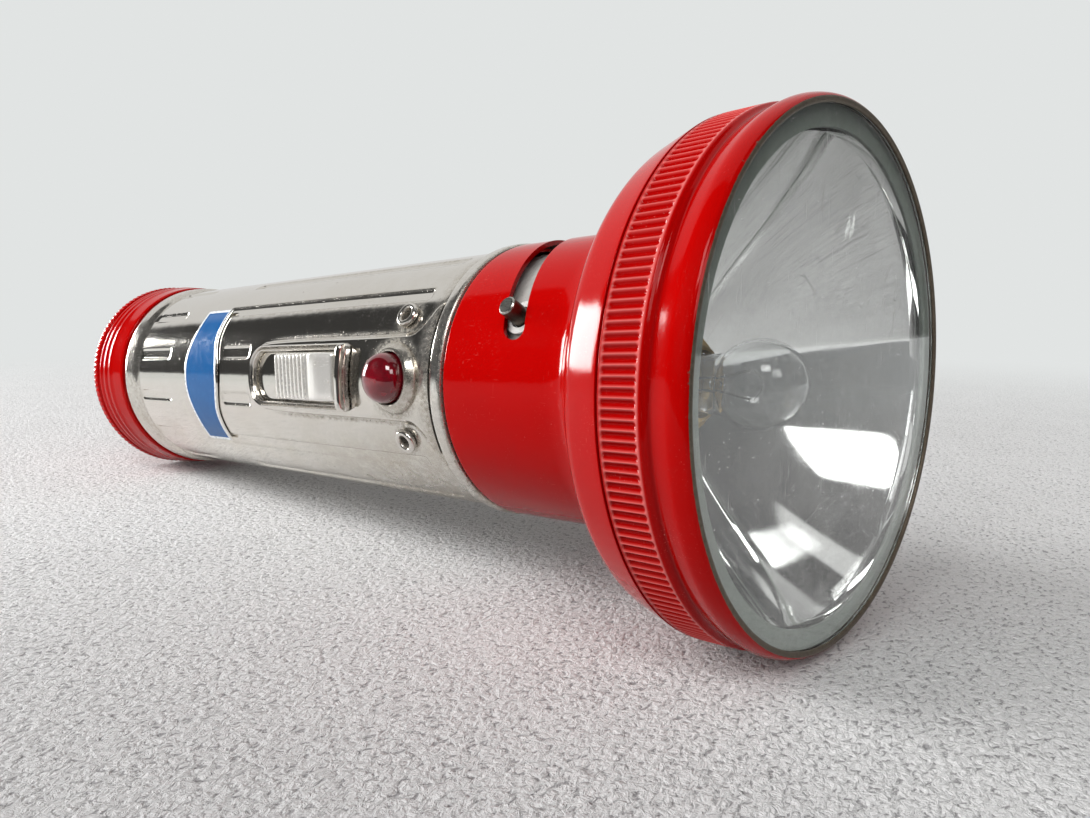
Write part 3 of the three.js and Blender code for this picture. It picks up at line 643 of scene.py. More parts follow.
def make_barrel():
    zones = [(0, 7.9), (19.2, 21.0), (37.0, 39.0), (40.9, 42.9), (50.2, 58.4), (90.2, 99.3)]
    s = stations(0, 99.3, 1.1, 0.27, zones)
    cols = []
    for row in ROWS:
        cols += list(row + np.array([-12.857, -11.1, -9.4, -7.8, -6.3, -5.2, -4.6, -4.05, -3.6, -3.15, -2.7, -2.2, -1.6, -0.8, 0, 0.8, 1.6, 2.2, 2.7, 3.15, 3.6, 4.05, 4.6, 5.2, 6.3, 7.8, 9.4, 11.1]))
    cols += list(np.arange(SWITCH_PHI - 36, SWITCH_PHI - 14, 0.72)) + list(np.arange(SWITCH_PHI + 14, SWITCH_PHI + 36, 0.72))
    cols = np.sort(np.mod(cols, 360))
    keep = [cols[0]]
    for c in cols[1:]:
        if c - keep[-1] > 0.28:
            keep.append(c)
    phi = np.array(keep)
    S, F = np.meshgrid(s, phi, indexing="ij")
    R, D = barrel_radius(S, F)
    verts = polar(S, R, F)
    faces = grid_faces(len(s), len(phi), False, True)
    cs, cf = S.ravel()[faces].mean(1), None
    ang = np.radians(F.ravel()[faces])
    mid = np.degrees(np.arctan2(np.sin(ang).mean(1), np.cos(ang).mean(1)))
    gone = np.zeros(len(faces), bool)
    for ph, sc, rad in ((SWITCH_PHI, BUTTON_S, 4.3), (SWITCH_PHI + RIVET_SWING, RIVET_S, 1.3), (SWITCH_PHI - RIVET_SWING, RIVET_S, 1.3)):
        gone |= np.hypot(cs - sc, np.radians(wrap(mid - ph)) * 19.4) < rad
    gone |= (cs > 63.2) & (cs < 74.4) & (np.abs(np.radians(wrap(mid - SWITCH_PHI)) * 19.4) < 1.5)
    ob = piece("barrel_shell", verts, faces[~gone], CHROME, "barrel_body", ("barrel",), sharp=0, weld=False, masks={"wear": D})
    mod = ob.modifiers.new("wall", "SOLIDIFY")
    mod.thickness = 0.55 * MM
    mod.offset = -1
    return apply_modifiers(ob, 50)


make_barrel()

# ---------------------------------------------------------------- blue badge with its thin light border
def make_badge():
    phi0, half = 5.0, 13.6

    def lines(t):
        e = abs(t) / half
        lo = np.interp(e, [0, 0.10, 0.20, 0.33, 0.45, 0.55, 0.66, 0.78, 1], [28.1, 28.12, 28.22, 28.6, 29.05, 29.38, 29.7, 30.0, 30.4])
        hi = np.interp(e, [0, 0.10, 0.20, 0.33, 0.45, 0.55, 0.66, 0.78, 1], [41.0, 40.98, 40.84, 40.3, 39.75, 39.45, 39.32, 39.3, 39.4])
        return lo, hi

    t = np.array([-half, -half + 0.12, -half + 0.36, -half + 0.86, -half + 1.0, -half + 1.2])
    t = np.concatenate([t, np.linspace(-half + 1.5, half - 1.5, 44), -t[::-1]])
    edge = np.array([0, 0.12, 0.36, 0.86, 1.0])
    u_n = 14
    verts, kinds = [], []
    for v in t:
        lo, hi = lines(v)
        pts = list(lo + edge) + list(np.linspace(lo + 1.2, hi - 1.2, u_n)) + list(hi - edge[::-1])
        verts.append(pts)
    S = np.array(verts)
    m = S.shape[1]
    Tt = np.repeat(t[:, None], m, 1)
    rim_u = np.concatenate([edge, np.full(u_n, 9.0), edge[::-1]])
    rim_t = np.minimum(t + half, half - t)
    dist = np.minimum(rim_u[None, :], rim_t[:, None])
    height = np.interp(dist, [0, 0.12, 0.36, 0.86, 1.0, 1.2], [19.24, 19.40, 19.45, 19.42, 19.38, 19.38])
    phi = phi0 + np.degrees(Tt / 19.4)
    top = polar(S, height, phi).reshape(-1, 3)
    bottom = polar(S, 19.15, phi).reshape(-1, 3)
    n = len(t)
    faces = grid_faces(n, m).tolist()
    off = n * m
    under = [[a + off for a in f[::-1]] for f in faces]
    ring = [j for j in range(m)] + [i * m + m - 1 for i in range(1, n)] + [(n - 1) * m + j for j in range(m - 2, -1, -1)] + [i * m for i in range(n - 2, 0, -1)]
    side = [[ring[i], ring[i - 1], ring[i - 1] + off, ring[i] + off] for i in range(len(ring))]
    centre = dist.ravel()[np.array(faces)].mean(1)
    ob = piece("badge_plate", np.concatenate([top, bottom]), faces + under + side, CHROME_TRIM, "barrel_body", ("name_badge",), sharp=50, weld=False)
    me = ob.data
    me.materials.append(WHITE)
    me.materials.append(BLUE)
    for i, c in enumerate(centre):
        me.polygons[i].material_index = 0 if c < 0.34 else 1 if c < 0.88 else 2
    return ob


make_badge()

# ---------------------------------------------------------------- tail cap with ribs and a knurled rim
CAP_KNURL = 116


def cap_shape(s, r, phi):
    zone = smoothstep(-14.05, -13.75, s) * smoothstep(-12.05, -12.35, s) * (r > 20.0)
    wave = 0.5 - 0.5 * np.cos(np.radians(phi) * CAP_KNURL)
    return r - 0.17 * zone * wave ** 1.3


cap = rounded([(-14.5, 0), (-14.5, 12.0), (-14.5, 19.9, 0.5), (-14.2, 20.7, 0.4), (-13.7, 21.06, 0.3), (-12.25, 21.06, 0.3), (-11.75, 20.46, 0.3), (-10.7, 20.80, 0.5),
               (-9.5, 20.42, 0.45), (-8.3, 20.76, 0.5), (-7.1, 20.36, 0.45), (-5.9, 20.70, 0.5), (-4.6, 20.38, 0.5), (-0.8, 20.15, 0.2), (-0.34, 19.85, 0.2), (-0.34, 18.8), (-13.2, 18.8, 0.6), (-13.2, 0)], 5)
cap = denser(cap, 0.9)
# painted shade darkens the rib valleys of the cap
turned("tail_cap_shell", cap, RED, "cap", ("tail_cap",), n=CAP_KNURL * 6, closed=False, shape=cap_shape,
       masks={"wear": lambda s, r, p: 0.16 * smoothstep(-0.9, -0.35, s) + 0.22 * np.exp(-((s + 14.3) / 0.35) ** 2) * (r > 19.5),
              "depth_tone_and_painted_shade": lambda s, r, p: 0.55 * np.exp(-((s + 11.7) / 0.25) ** 2) + 0.3 * np.exp(-((s + 9.5) / 0.3) ** 2) + 0.3 * np.exp(-((s + 7.1) / 0.3) ** 2)})

# conical tail spring, drawn at one length; the real one shortens as the cells are pushed back
turns = 3.6
tt = np.linspace(0, 1, 220)
flat = np.clip((tt - 0.16) / 0.68, 0, 1)
ang, rad_ = tt * turns * 2 * math.pi, 14.2 - 7.4 * tt
spring = swept("tail_coil_spring", np.stack([-12.5 + 6.3 * flat, rad_ * np.cos(ang), rad_ * np.sin(ang)], 1), 0.44, STEEL, "cap_spring", ("tail_spring",), sides=12)

# ---------------------------------------------------------------- slide switch
def make_frame():
    half, s_rear, s_front = 4.6, 55.4, 81.42
    path = [(s_front, half - 0.5), (s_front - 0.12, half - 0.12), (s_front - 0.5, half)]
    path += [(x, half) for x in np.linspace(s_front - 2, 59.4, 14)]
    for a in np.linspace(math.pi / 2, 3 * math.pi / 2, 31)[1:-1]:
        path.append((58.6 + 3.2 * math.copysign(abs(math.cos(a)) ** 0.86, math.cos(a)), half * math.copysign(abs(math.sin(a)) ** 0.86, math.sin(a))))
    path += [(x, -half) for x in np.linspace(59.4, s_front - 2, 14)]
    path += [(s_front - 0.5, -half), (s_front - 0.12, -half + 0.12), (s_front, -half + 0.5)]
    path += [(s_front, y) for y in np.linspace(-half + 1.4, half - 1.4, 9)]
    p = np.array(path)
    tan = np.roll(p, -1, 0) - np.roll(p, 1, 0)
    tan /= np.linalg.norm(tan, axis=1)[:, None]
    nrm = np.stack([tan[:, 1], -tan[:, 0]], 1)
    centre = p.mean(0)
    flip = np.sign(((p - centre) * nrm).sum(1))
    nrm = nrm * np.median(flip)
    section = [(-0.53, 0.05), (-0.53, 0.62), (-0.47, 0.88), (-0.34, 1.0), (-0.2, 0.92), (-0.09, 0.66), (0.0, 0.58), (0.09, 0.66), (0.2, 0.98), (0.34, 1.12), (0.47, 1.0), (0.53, 0.72), (0.53, 0.05)]
    sec = np.array(section)
    W = p[:, None, :] + nrm[:, None, :] * sec[None, :, 0:1]
    h = 19.82 + np.repeat(sec[None, :, 1], len(p), 0)
    z = np.sqrt(np.maximum(h ** 2 - W[..., 1] ** 2, 1))
    verts = radial(W[..., 0], W[..., 1], z, SWITCH_PHI).reshape(-1, 3)
    faces = grid_faces(len(p), len(sec), True, True)
    dirt = np.repeat(np.array([[0.8, 0.2, 0, 0, 0.2, 0.8, 1, 0.8, 0.2, 0, 0, 0.2, 0.9]]), len(p), 0)
    return piece("switch_frame_loop", verts, faces, CHROME_TRIM, "barrel_body", ("switch_frame",), sharp=60, masks={"wear": dirt})


def make_stop():
    """The upright end wall of the switch frame."""
    t = np.concatenate([[-4.95, -4.9, -4.75, -4.5], np.linspace(-4.1, 4.1, 13), [4.5, 4.75, 4.9, 4.95]])
    loop = np.array([(80.82, 20.45), (80.80, 21.5), (80.88, 21.74), (81.08, 21.86), (81.55, 21.86), (81.78, 21.74), (81.9, 21.5), (81.9, 20.45)])
    drop = np.interp(np.abs(t), [0, 4.1, 4.5, 4.75, 4.9, 4.95], [0.0, 0.30, 0.42, 0.62, 0.85, 1.05])
    S = np.repeat(loop[None, :, 0], len(t), 0)
    H = np.repeat(loop[None, :, 1], len(t), 0) - drop[:, None] * (loop[None, :, 1] > 21.0)
    H = np.where(loop[None, :, 1] < 21, 20.35, H)
    T = np.repeat(t[:, None], len(loop), 1)
    faces = grid_faces(len(t), len(loop), False, True).tolist()
    m, n = len(loop), len(t)
    faces += [list(range(m)), [(n - 1) * m + i for i in range(m)]]
    wear = np.where(H < 20.6, 0.9, 0.0) + 0.0 * T
    return piece("switch_end_stop", radial(S, T, H, SWITCH_PHI).reshape(-1, 3), faces, CHROME_TRIM, "barrel_body", (), sharp=50, masks={"wear": wear})


def make_slide():
    top = [(63.5, 20.05), (63.5, 21.0), (63.62, 21.22), (63.85, 21.3)]
    for s in np.arange(64.05, 75.25, 0.13):
        crest = 21.62 + (s - 64.4) * 0.142
        phase = (s - 64.4) / 1.36
        top.append((s, crest - 0.50 * (0.5 - 0.5 * math.cos(2 * math.pi * phase)) ** 1.25))
    top += [(75.45, 22.95), (75.8, 23.08), (76.3, 23.16), (76.9, 23.16), (77.4, 23.05), (78.0, 22.74), (78.7, 22.32), (79.3, 21.95), (79.65, 21.78), (79.88, 21.62), (79.97, 21.4), (79.97, 20.05)]
    p = np.array(top)
    t = np.array([-3.68, -3.66, -3.58, -3.42, -3.15, -2.75, -2.2, -1.5, -0.7, 0, 0.7, 1.5, 2.2, 2.75, 3.15, 3.42, 3.58, 3.66, 3.68])
    drop = np.interp(np.abs(t), [0, 1.5, 2.75, 3.15, 3.42, 3.58, 3.66, 3.68], [0, 0.005, 0.03, 0.08, 0.20, 0.40, 0.62, 0.85]) + 0.07 * (3.68 - t)
    S = np.repeat(p[None, :, 0], len(t), 0)
    H = np.repeat(p[None, :, 1], len(t), 0)
    H = np.where(H > 20.2, np.maximum(H - drop[:, None], 20.2), H)
    T = np.repeat(t[:, None], len(p), 1)
    m, n = len(p), len(t)
    faces = grid_faces(n, m, False, True).tolist()
    faces += [list(range(m)), [(n - 1) * m + i for i in range(m)]]
    phase = (S - 64.4) / 1.36
    valley = (0.5 - 0.5 * np.cos(2 * math.pi * phase)) ** 2 * (S > 64) * (S < 75.3)
    wear = np.clip(0.75 * valley + 0.9 * (H < 20.8), 0, 1)
    return piece("switch_thumb_slide", radial(S, T, H, SWITCH_PHI).reshape(-1, 3), faces, CHROME_SATIN, "switch", ("switch_slide",), sharp=50, masks={"wear": wear})


def make_shank():
    """The slide's shank, which goes through the slot to the wiper."""
    loop = rounded([(74.2, 0), (74.2, 1.1, 0.35), (69, 1.1, 0.35), (69, -1.1, 0.35), (74.2, -1.1, 0.35), (74.2, 0)], 4)[:-1]
    p = np.array(loop)
    H = np.array([18.0, 19.0, 20.08])
    S, T = np.repeat(p[None, :, 0], 3, 0), np.repeat(p[None, :, 1], 3, 0)
    faces = grid_faces(3, len(p), False, True).tolist() + [list(range(len(p))), [2 * len(p) + i for i in range(len(p))]]
    return piece("switch_shank", radial(S, T, np.repeat(H[:, None], len(p), 1), SWITCH_PHI).reshape(-1, 3), faces, STEEL, "switch", ())


make_frame()
make_stop()
make_slide()
make_shank()

# ---------------------------------------------------------------- signal button, its ring and the eyelets
dome = [(18.0, 0), (18.0, 3.3), (18.1, 3.5), (20.8, 3.52), (21.5, 3.50)]
for a in np.linspace(0.12, math.pi / 2, 16):
    dome.append((21.5 + 2.46 * math.sin(a), 3.50 * math.cos(a) ** 0.92))
post("signal_push_button", dome, BUTTON_S, SWITCH_PHI, RUBY, "signal_key", ("signal_button",), n=64)


def on_barrel(h, r, a):
    """Lets a ring's foot follow the curved panel."""
    t = r * np.sin(a)
    return h - (19.7 - np.sqrt(19.7 ** 2 - t ** 2)), r


ring_profile = rounded([(19.55, 3.75), (19.55, 5.08), (19.9, 5.10, 0.12), (20.1, 5.06, 0.1), (20.62, 4.62, 0.25), (20.98, 4.24, 0.2), (21.06, 4.0, 0.15), (20.95, 3.78, 0.1)], 4)
post("button_collar_ring", ring_profile, BUTTON_S, SWITCH_PHI, CHROME_RUSTY, "barrel_body", ("button_ring",), n=72, closed=True, shape=on_barrel,
     masks={"wear": lambda h, r, a: np.clip(0.40 + 0.45 * (r > 4.85) + 0.25 * (h < 20.0) + 0.3 * (r < 3.95), 0, 1)})
for label, side in (("upper", 1), ("lower", -1)):
    eyelet = rounded([(17.1, 0.86), (17.1, 1.5, 0.15), (17.35, 1.72, 0.2), (17.6, 1.5, 0.2), (17.62, 1.16), (19.05, 1.16), (19.12, 1.72, 0.15), (19.5, 1.86, 0.3), (19.95, 1.74, 0.3), (20.13, 1.38, 0.25), (19.95, 1.0, 0.25), (19.3, 0.86)], 4)
    post(f"eyelet_rivet_{label}", eyelet, RIVET_S, SWITCH_PHI + side * RIVET_SWING, CHROME_TRIM, "barrel_body", (f"rivet_{label}",), n=40, closed=True,
         masks={"wear": lambda h, r, a: np.clip(0.25 + 0.7 * (h < 19.4) + 0.6 * (r < 1.1), 0, 1)})

# ---------------------------------------------------------------- collar and red head
collar = rounded([(99.65, 18.3), (99.65, 19.25, 0.2), (99.8, 19.72, 0.25), (100.4, 19.78, 0.3), (101.3, 19.78, 0.3), (101.75, 19.6, 0.25), (101.85, 19.0, 0.2), (101.85, 18.58), (104.8, 18.58), (104.8, 18.3)], 4)
turned("collar_band", denser(collar, 0.6), CHROME_TRIM, "barrel_body", ("front_collar",), n=160,
       masks={"wear": lambda s, r, p: np.clip(0.85 * (s > 101.5) + 0.7 * (s < 99.85) + 0.28, 0, 1)})

head = rounded([
    (102.15, 18.95), (102.15, 19.3, 0.2), (102.5, 19.6, 0.25), (120.5, 19.6, 1.6), (122.7, 20.02, 1.2), (124.2, 21.15, 1.0), (125.4, 22.85, 1.0), (130.1, 28.75, 1.2),
    (135.3, 30.60, 0.12), (135.36, 29.4, 0.1), (141.1, 29.36, 0.2), (141.1, 28.75), (133.4, 28.75, 0.5),
    (131.8, 28.35, 0.8), (130.5, 27.2, 0.8), (126.1, 22.1, 0.8), (124.0, 19.85, 0.8), (121.6, 18.95, 0.6)], 6)
shell = turned("head_bell", denser(head, 1.0), RED, "barrel_body", ("head_shell",), n=224, sharp=40)


def make_cutter():
    end = math.degrees(SLOT_HALF / 19.6)
    a, b = SLOT_PHI0 - end, SLOT_PHI1 + end
    u = np.concatenate([(1 - np.cos(np.linspace(0, math.pi / 2, 12))) * end, np.linspace(end, b - a - end, 46)[1:-1], (b - a) - (1 - np.cos(np.linspace(math.pi / 2, 0, 12))) * end])
    phi = a + u
    beyond = np.maximum(0, np.maximum(SLOT_PHI0 - phi, phi - SLOT_PHI1)) / end
    half = SLOT_HALF * np.sqrt(np.clip(1 - beyond ** 2, 0.0004, 1))
    mid = SLOT_S0 - SLOT_SLOPE * (phi - SLOT_PHI0)
    corners = [(1, 17.5), (1, 21.5), (-1, 21.5), (-1, 17.5)]
    verts = np.stack([polar(mid + k * half, r, phi) for k, r in corners], 1).reshape(-1, 3)
    n = len(phi)
    faces = grid_faces(n, 4, False, True).tolist() + [[0, 1, 2, 3], [(n - 1) * 4 + i for i in range(4)]]
    me = bpy.data.meshes.new("slot_cutter")
    me.from_pydata(verts.tolist(), [], faces)
    bm = bmesh.new()
    bm.from_mesh(me)
    bmesh.ops.recalc_face_normals(bm, faces=bm.faces)
    bm.to_mesh(me)
    bm.free()
    ob = bpy.data.objects.new("slot_cutter", me)
    bpy.context.scene.collection.objects.link(ob)
    return ob


cutter = make_cutter()
cut = shell.modifiers.new("slot", "BOOLEAN")
cut.operation, cut.solver, cut.object = "DIFFERENCE", "EXACT", cutter
apply_modifiers(shell, 40)
bpy.data.objects.remove(cutter)
bm = bmesh.new()
bm.from_mesh(shell.data)
wear_layer = bm.verts.layers.float.get("wear") or bm.verts.layers.float.new("wear")
painted_shade_layer = bm.verts.layers.float.get("depth_tone_and_painted_shade") or bm.verts.layers.float.new("depth_tone_and_painted_shade")
for v in bm.verts:
    x, y, z = v.co.x / MM - OX, v.co.y / MM, v.co.z / MM - OZ
    s = x * CT + z * ST
    zz = -x * ST + z * CT
    r = math.hypot(y, zz)
    phi = math.degrees(math.atan2(zz, -y))
    w = 0.30 * max(0.0, 1 - abs(s - 102.2) / 0.35)
    d = 0.0
    # painted shade: the inside of the neck, seen through the slot, is darkened as if in shadow
    if r < 19.2 and 103 < s < 120:
        d = 1.0
    if s < 102.3 and r < 19.35:
        w = 0.5
    v[wear_layer] = w
    v[painted_shade_layer] = d
bm.to_mesh(shell.data)
bm.free()

# ---------------------------------------------------------------- bezel: knurled band, groove, front bead and worn lip
KNURL = 188


def bezel_shape(s, r, phi):
    zone = smoothstep(135.75, 136.15, s) * smoothstep(140.0, 139.6, s) * (r > 30.0)
    wave = 0.5 - 0.5 * np.cos(np.radians(phi) * KNURL)
    return r - 0.34 * zone * wave ** 0.8


def bezel_wear(s, r, phi):
    a = np.radians(phi)
    uneven = 0.5 + 0.25 * np.sin(3 * a + 0.6) + 0.18 * np.sin(7 * a + 2.0) + 0.12 * np.sin(17 * a)
    lip = smoothstep(145.0, 145.1, s) * (r < 30.12)
    edge = smoothstep(144.5, 145.05, s) * (0.10 + 0.28 * uneven)
    return np.clip(1.0 * lip + edge + 1.0 * (r < 29.9), 0, 1)


bezel = [(135.44, 29.85), (135.44, 30.35, 0.1), (135.62, 30.60, 0.12), (135.75, 30.60)]
bezel += [(x, 30.60) for x in (135.85, 136.0, 136.15, 136.5, 137.0, 137.6, 138.2, 138.8, 139.35, 139.6, 139.75, 139.9, 140.05)]
bezel += [(140.3, 30.54, 0.2), (140.62, 30.16, 0.2), (141.0, 30.02, 0.2), (141.3, 30.08, 0.1), (143.35, 30.76, 0.55), (144.25, 30.64, 0.4),
          (144.88, 30.38, 0.3), (145.18, 30.02, 0.22), (145.2, 29.72, 0.1), (145.12, 29.46, 0.1), (144.9, 29.42, 0.05), (144.88, 29.84), (140.0, 29.84)]
bz = denser(rounded(bezel, 4), 1.2)
# painted shade darkens the groove and the knurl valleys; a painted highlight runs along each knurl crest
turned("bezel_band", bz, RED, "bezel", ("bezel_ring",), n=KNURL * 8, sharp=45, shape=bezel_shape,
       masks={"wear": bezel_wear,
              "crest": lambda s, r, p: smoothstep(30.50, 30.585, r) * smoothstep(135.7, 135.9, s) * smoothstep(140.25, 140.0, s),
              "depth_tone_and_painted_shade": lambda s, r, p: np.clip(0.9 * np.exp(-((s - 140.95) / 0.34) ** 2) * (r > 29.95) + 0.30 * (r < 30.42) * smoothstep(135.8, 136.1, s) * smoothstep(140.0, 139.7, s), 0, 1)})

# ---------------------------------------------------------------- lens, gasket, reflector
glass = rounded([(143.78, 0), (143.78, 29.4), (143.78, 29.62, 0.15), (144.80, 29.62, 0.15), (144.80, 29.4), (144.80, 0)], 4)
turned("lens_pane", denser(glass, 6.0), LENS, "lens", ("lens_glass",), n=192, closed=False, sharp=40)
turned("lens_packing_ring", rounded([(143.40, 27.3), (143.40, 29.5, 0.08), (143.74, 29.5, 0.08), (143.74, 27.2, 0.1), (143.40, 27.3)], 3)[:-1], GASKET, "barrel_body", ("lens_gasket",), n=192)

focus = 40.64
inner = [(124.1 + r * r / focus, r) for r in np.linspace(6.9, 27.1, 54)]
back = [(a - 0.42, b + 0.24) for a, b in inner]
mirror = inner + [(142.2, 27.12), (143.36, 27.2), (143.36, 29.25), (142.9, 29.25), (142.9, 27.6), (142.1, 27.5)] + back[::-1]
turned("reflector_bowl", mirror, MIRROR, "barrel_body", ("reflector",), n=224, sharp=40)

# ---------------------------------------------------------------- lamp carrier: sleeve, stud, washer
sleeve = rounded([(105.2, 17.3), (105.2, 17.88, 0.15), (127.0, 17.88, 0.15), (127.0, 17.3, 0.15), (105.2, 17.3)], 3)[:-1]
turned("lamp_carrier_sleeve", denser(sleeve, 1.5), SLEEVE, "lamp_carrier", ("lamp_sleeve",), n=160)
stud_side = rounded([(16.75, 0), (16.75, 1.23), (17.6, 1.23), (20.9, 1.23), (21.36, 1.22, 0.2), (21.55, 1.0, 0.15)], 4)
post("focus_stud_pin", stud_side + [(21.58, 0.55), (21.52, 0)], STUD_S, STUD_PHI, STUD, "lamp_carrier", ("focus_stud",), n=48)
st = bpy.data.objects["focus_stud_pin"]
st.data.materials.append(STUD_TOP)
top_at = Vector(radial(STUD_S, 0, 21.36, STUD_PHI).tolist())
out_dir = (Vector(radial(STUD_S, 0, 22.0, STUD_PHI).tolist()) - Vector(radial(STUD_S, 0, 18.0, STUD_PHI).tolist())).normalized()
for f in st.data.polygons:
    if (f.center - top_at).dot(out_dir) > 0 or f.normal.dot(out_dir) > 0.35:
        f.material_index = 1
post("stud_spring_washer", rounded([(18.14, 1.45), (18.14, 2.24, 0.08), (18.42, 2.28, 0.1), (18.5, 2.1, 0.1), (18.46, 1.45, 0.05)], 3), STUD_S, STUD_PHI, WASHER, "lamp_carrier", ("stud_washer",), n=48, closed=True)

# ---------------------------------------------------------------- bulb
def thread(s, r, phi):
    zone = smoothstep(121.0, 121.6, s) * smoothstep(127.9, 127.3, s) * (r > 4.45)
    return r - 0.18 * zone * (0.5 - 0.5 * np.cos(2 * np.pi * (s / 1.25 - phi / 360.0)))


base = [(120.72, 4.22), (120.72, 4.6), (120.85, 4.72)] + [(s, 4.73) for s in np.arange(121.0, 127.9, 0.16)] + [(128.0, 4.7), (128.08, 4.55), (128.08, 4.22)]
turned("bulb_screw_base", base, BRASS, "lamp_carrier", ("bulb_base",), n=64, shape=thread)

R_GLOBE, R_NECK, S_GLOBE, WALL = 5.5, 3.7, 135.5, 0.40
neck_angle = math.pi - math.asin(R_NECK / R_GLOBE)


def globe(r, neck):
    pts = [(S_GLOBE + r * math.cos(a), r * math.sin(a)) for a in np.linspace(0, neck_angle - 0.10, 30)]
    last = pts[-1]
    for q in np.linspace(0.25, 1, 4):
        pts.append((last[0] + (129.2 - last[0]) * q, last[1] + (neck - last[1]) * (1 - (1 - q) ** 2)))
    return pts + [(128.2, neck), (126.3, neck)]


outer_g, inner_g = globe(R_GLOBE - 0.02, R_NECK), globe(R_GLOBE - WALL, R_NECK - WALL)
outer_g[0], inner_g[0] = (outer_g[0][0], 0.0), (inner_g[0][0], 0.0)
turned("bulb_envelope", outer_g + inner_g[::-1], BULB, "lamp_carrier", ("bulb_glass",), n=80, closed=False, sharp=0)

u = np.linspace(0, 1, 26)
for label, k in (("upper", 1), ("lower", -1)):
    key = np.array([[124.2, 0, k * 0.75], [128.6, 0, k * 0.75], [131.2, 0, k * 1.0], [134.3, 0, k * 1.75]])
    s = key[0, 0] + (key[-1, 0] - key[0, 0]) * u
    z = np.interp(s, key[:, 0], key[:, 2])
    z = np.convolve(np.pad(z, 2, mode="edge"), np.ones(5) / 5, "valid")
    pts = np.stack([s, 0 * s, z], 1)
    pts[-2:, 0] -= 0.04
    swept(f"filament_wire_{label}", pts, 0.17, WIRE, "lamp_carrier", (f"filament_support_{label}",), sides=10)
post_bead = rounded([(129.2, 0), (129.25, 0.3, 0.1), (129.5, 0.42, 0.15), (130.2, 0.42, 0.15), (130.45, 0.3, 0.1), (130.5, 0)], 4)
turned("support_glass_bead", post_bead, BULB, "lamp_carrier", ("bulb_bead",), n=24, closed=False, sharp=0)
c = np.linspace(-1, 1, 260)
arch = np.stack([134.75 + 0.85 * (1 - c ** 2), 0.4 * (1 - c ** 2), 1.80 * c], 1)
coil = c * 60.0
arch[:, 0] += 0.13 * np.cos(coil) * (np.abs(c) < 0.93)
arch[:, 1] += 0.13 * np.sin(coil) * (np.abs(c) < 0.93)
swept("filament_coil", arch, 0.035, TUNGSTEN, "lamp_carrier", ("bulb_filament",), sides=6)

# the spring gets a mesh of its own; the real one shortens as the lamp and cells move back
tuple(place(-12.9, 0, 0).tolist())
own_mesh(spring)


# ---------------------------------------------------------------- floor
def make_floor():
    """A wide plain floor, finely stippled, with painted shade in its pits and a painted soft shadow on the viewer's
    side of the head. Far away it fades into the pale background.
    """
    k = Nodes("stippled_floor")
    drawn = k.stretch((1.0, 0.66, 1.0), (0, 0, 0.75))
    fine = k.noise(1.45, 4, 0.64, drawn, distortion=0.5)
    lumps = k.noise(0.55, 3, 0.55, drawn, distortion=0.3)
    swell = k.noise(0.035, 3, 0.5)
    patches = k.ramp(k.noise(0.05, 3, 0.6), 0.35, 0.65, 0.0, 0.035)
    # painted shade: the stipple's pits are darkened as if shadowed
    painted_pit_shade = k.ramp(fine, k.math("SUBTRACT", 0.482, patches), 0.350)
    height = k.math("ADD", k.math("MULTIPLY", fine, 0.8), k.math("MULTIPLY", lumps, 0.45))
    tone = k.mix(swell, (0.655, 0.65, 0.65), (0.72, 0.715, 0.715))
    tone = k.mix(k.math("MULTIPLY", painted_pit_shade, 0.74), tone, (0.16, 0.155, 0.16))
    # painted shadow: a soft dark patch on the floor on the viewer's side of the head, fading out by about 165 mm
    cx, cy = k.math("SUBTRACT", k.axis("X"), 88.0), k.math("ADD", k.axis("Y"), 120.0)
    worn_zone_and_floor_shadow = k.ramp(k.math("SQRT", k.math("ADD", k.math("MULTIPLY", cx, cx), k.math("MULTIPLY", cy, cy))), 30.0, 165.0, 0.42, 0.0)
    tone = k.mix(worn_zone_and_floor_shadow, tone, (0.10, 0.098, 0.10))
    rough = k.ramp(fine, 0.3, 0.7, 0.62, 0.86)
    n = k.bump(height, 1.0, 0.95)
    solid = k.shader(Base_Color=tone, Roughness=rough, Normal=n, Specular_IOR_Level=0.25)
    x, y = k.axis("X"), k.axis("Y")
    far = k.math("SQRT", k.math("ADD", k.math("MULTIPLY", x, x), k.math("MULTIPLY", y, y)))
    fade = k.ramp(far, 110.0, 520.0)
    glow = k.t.nodes.new("ShaderNodeEmission")
    glow.inputs[0].default_value = (0.755, 0.775, 0.77, 1)
    glow.inputs[1].default_value = 1.0
    mix = k.t.nodes.new("ShaderNodeMixShader")
    k.link(fade, mix.inputs[0])
    k.link(solid.outputs[0], mix.inputs[1])
    k.link(glow.outputs[0], mix.inputs[2])
    material = k.done(mix.outputs[0])
    bm = bmesh.new()
    bmesh.ops.create_circle(bm, cap_ends=True, radius=6.0, segments=96)
    me = bpy.data.meshes.new("studio_floor")
    bm.to_mesh(me)
    bm.free()
    me.materials.append(material)
    ob = bpy.data.objects.new("studio_floor", me)
    bpy.context.scene.collection.objects.link(ob)
    return ob


make_floor()


def make_card():
    """A dark upright card behind the viewer, which only shiny things see."""
    k = Nodes("dark_card")
    tone = k.mix(k.noise(0.02, 3, 0.5), (0.016, 0.016, 0.017), (0.030, 0.030, 0.031))
    material = k.done(k.shader(Base_Color=tone, Roughness=k.ramp(k.noise(0.1, 3), 0.3, 0.7, 0.7, 0.9)))
    c, side = Vector((0.743, -0.669, 0)), Vector((0.669, 0.743, 0))
    pts = [c * 0.205 + side * a + Vector((0, 0, h)) for a, h in ((-0.5, 0.0005), (0.7, 0.0005), (0.7, 0.045), (-0.5, 0.045))]
    me = bpy.data.meshes.new("dark_card")
    me.from_pydata([tuple(p) for p in pts], [], [(0, 1, 2, 3)])
    me.materials.append(material)
    ob = bpy.data.objects.new("dark_card", me)
    bpy.context.scene.collection.objects.link(ob)
    ob.visible_camera = ob.visible_diffuse = ob.visible_shadow = False
    return ob


make_card()

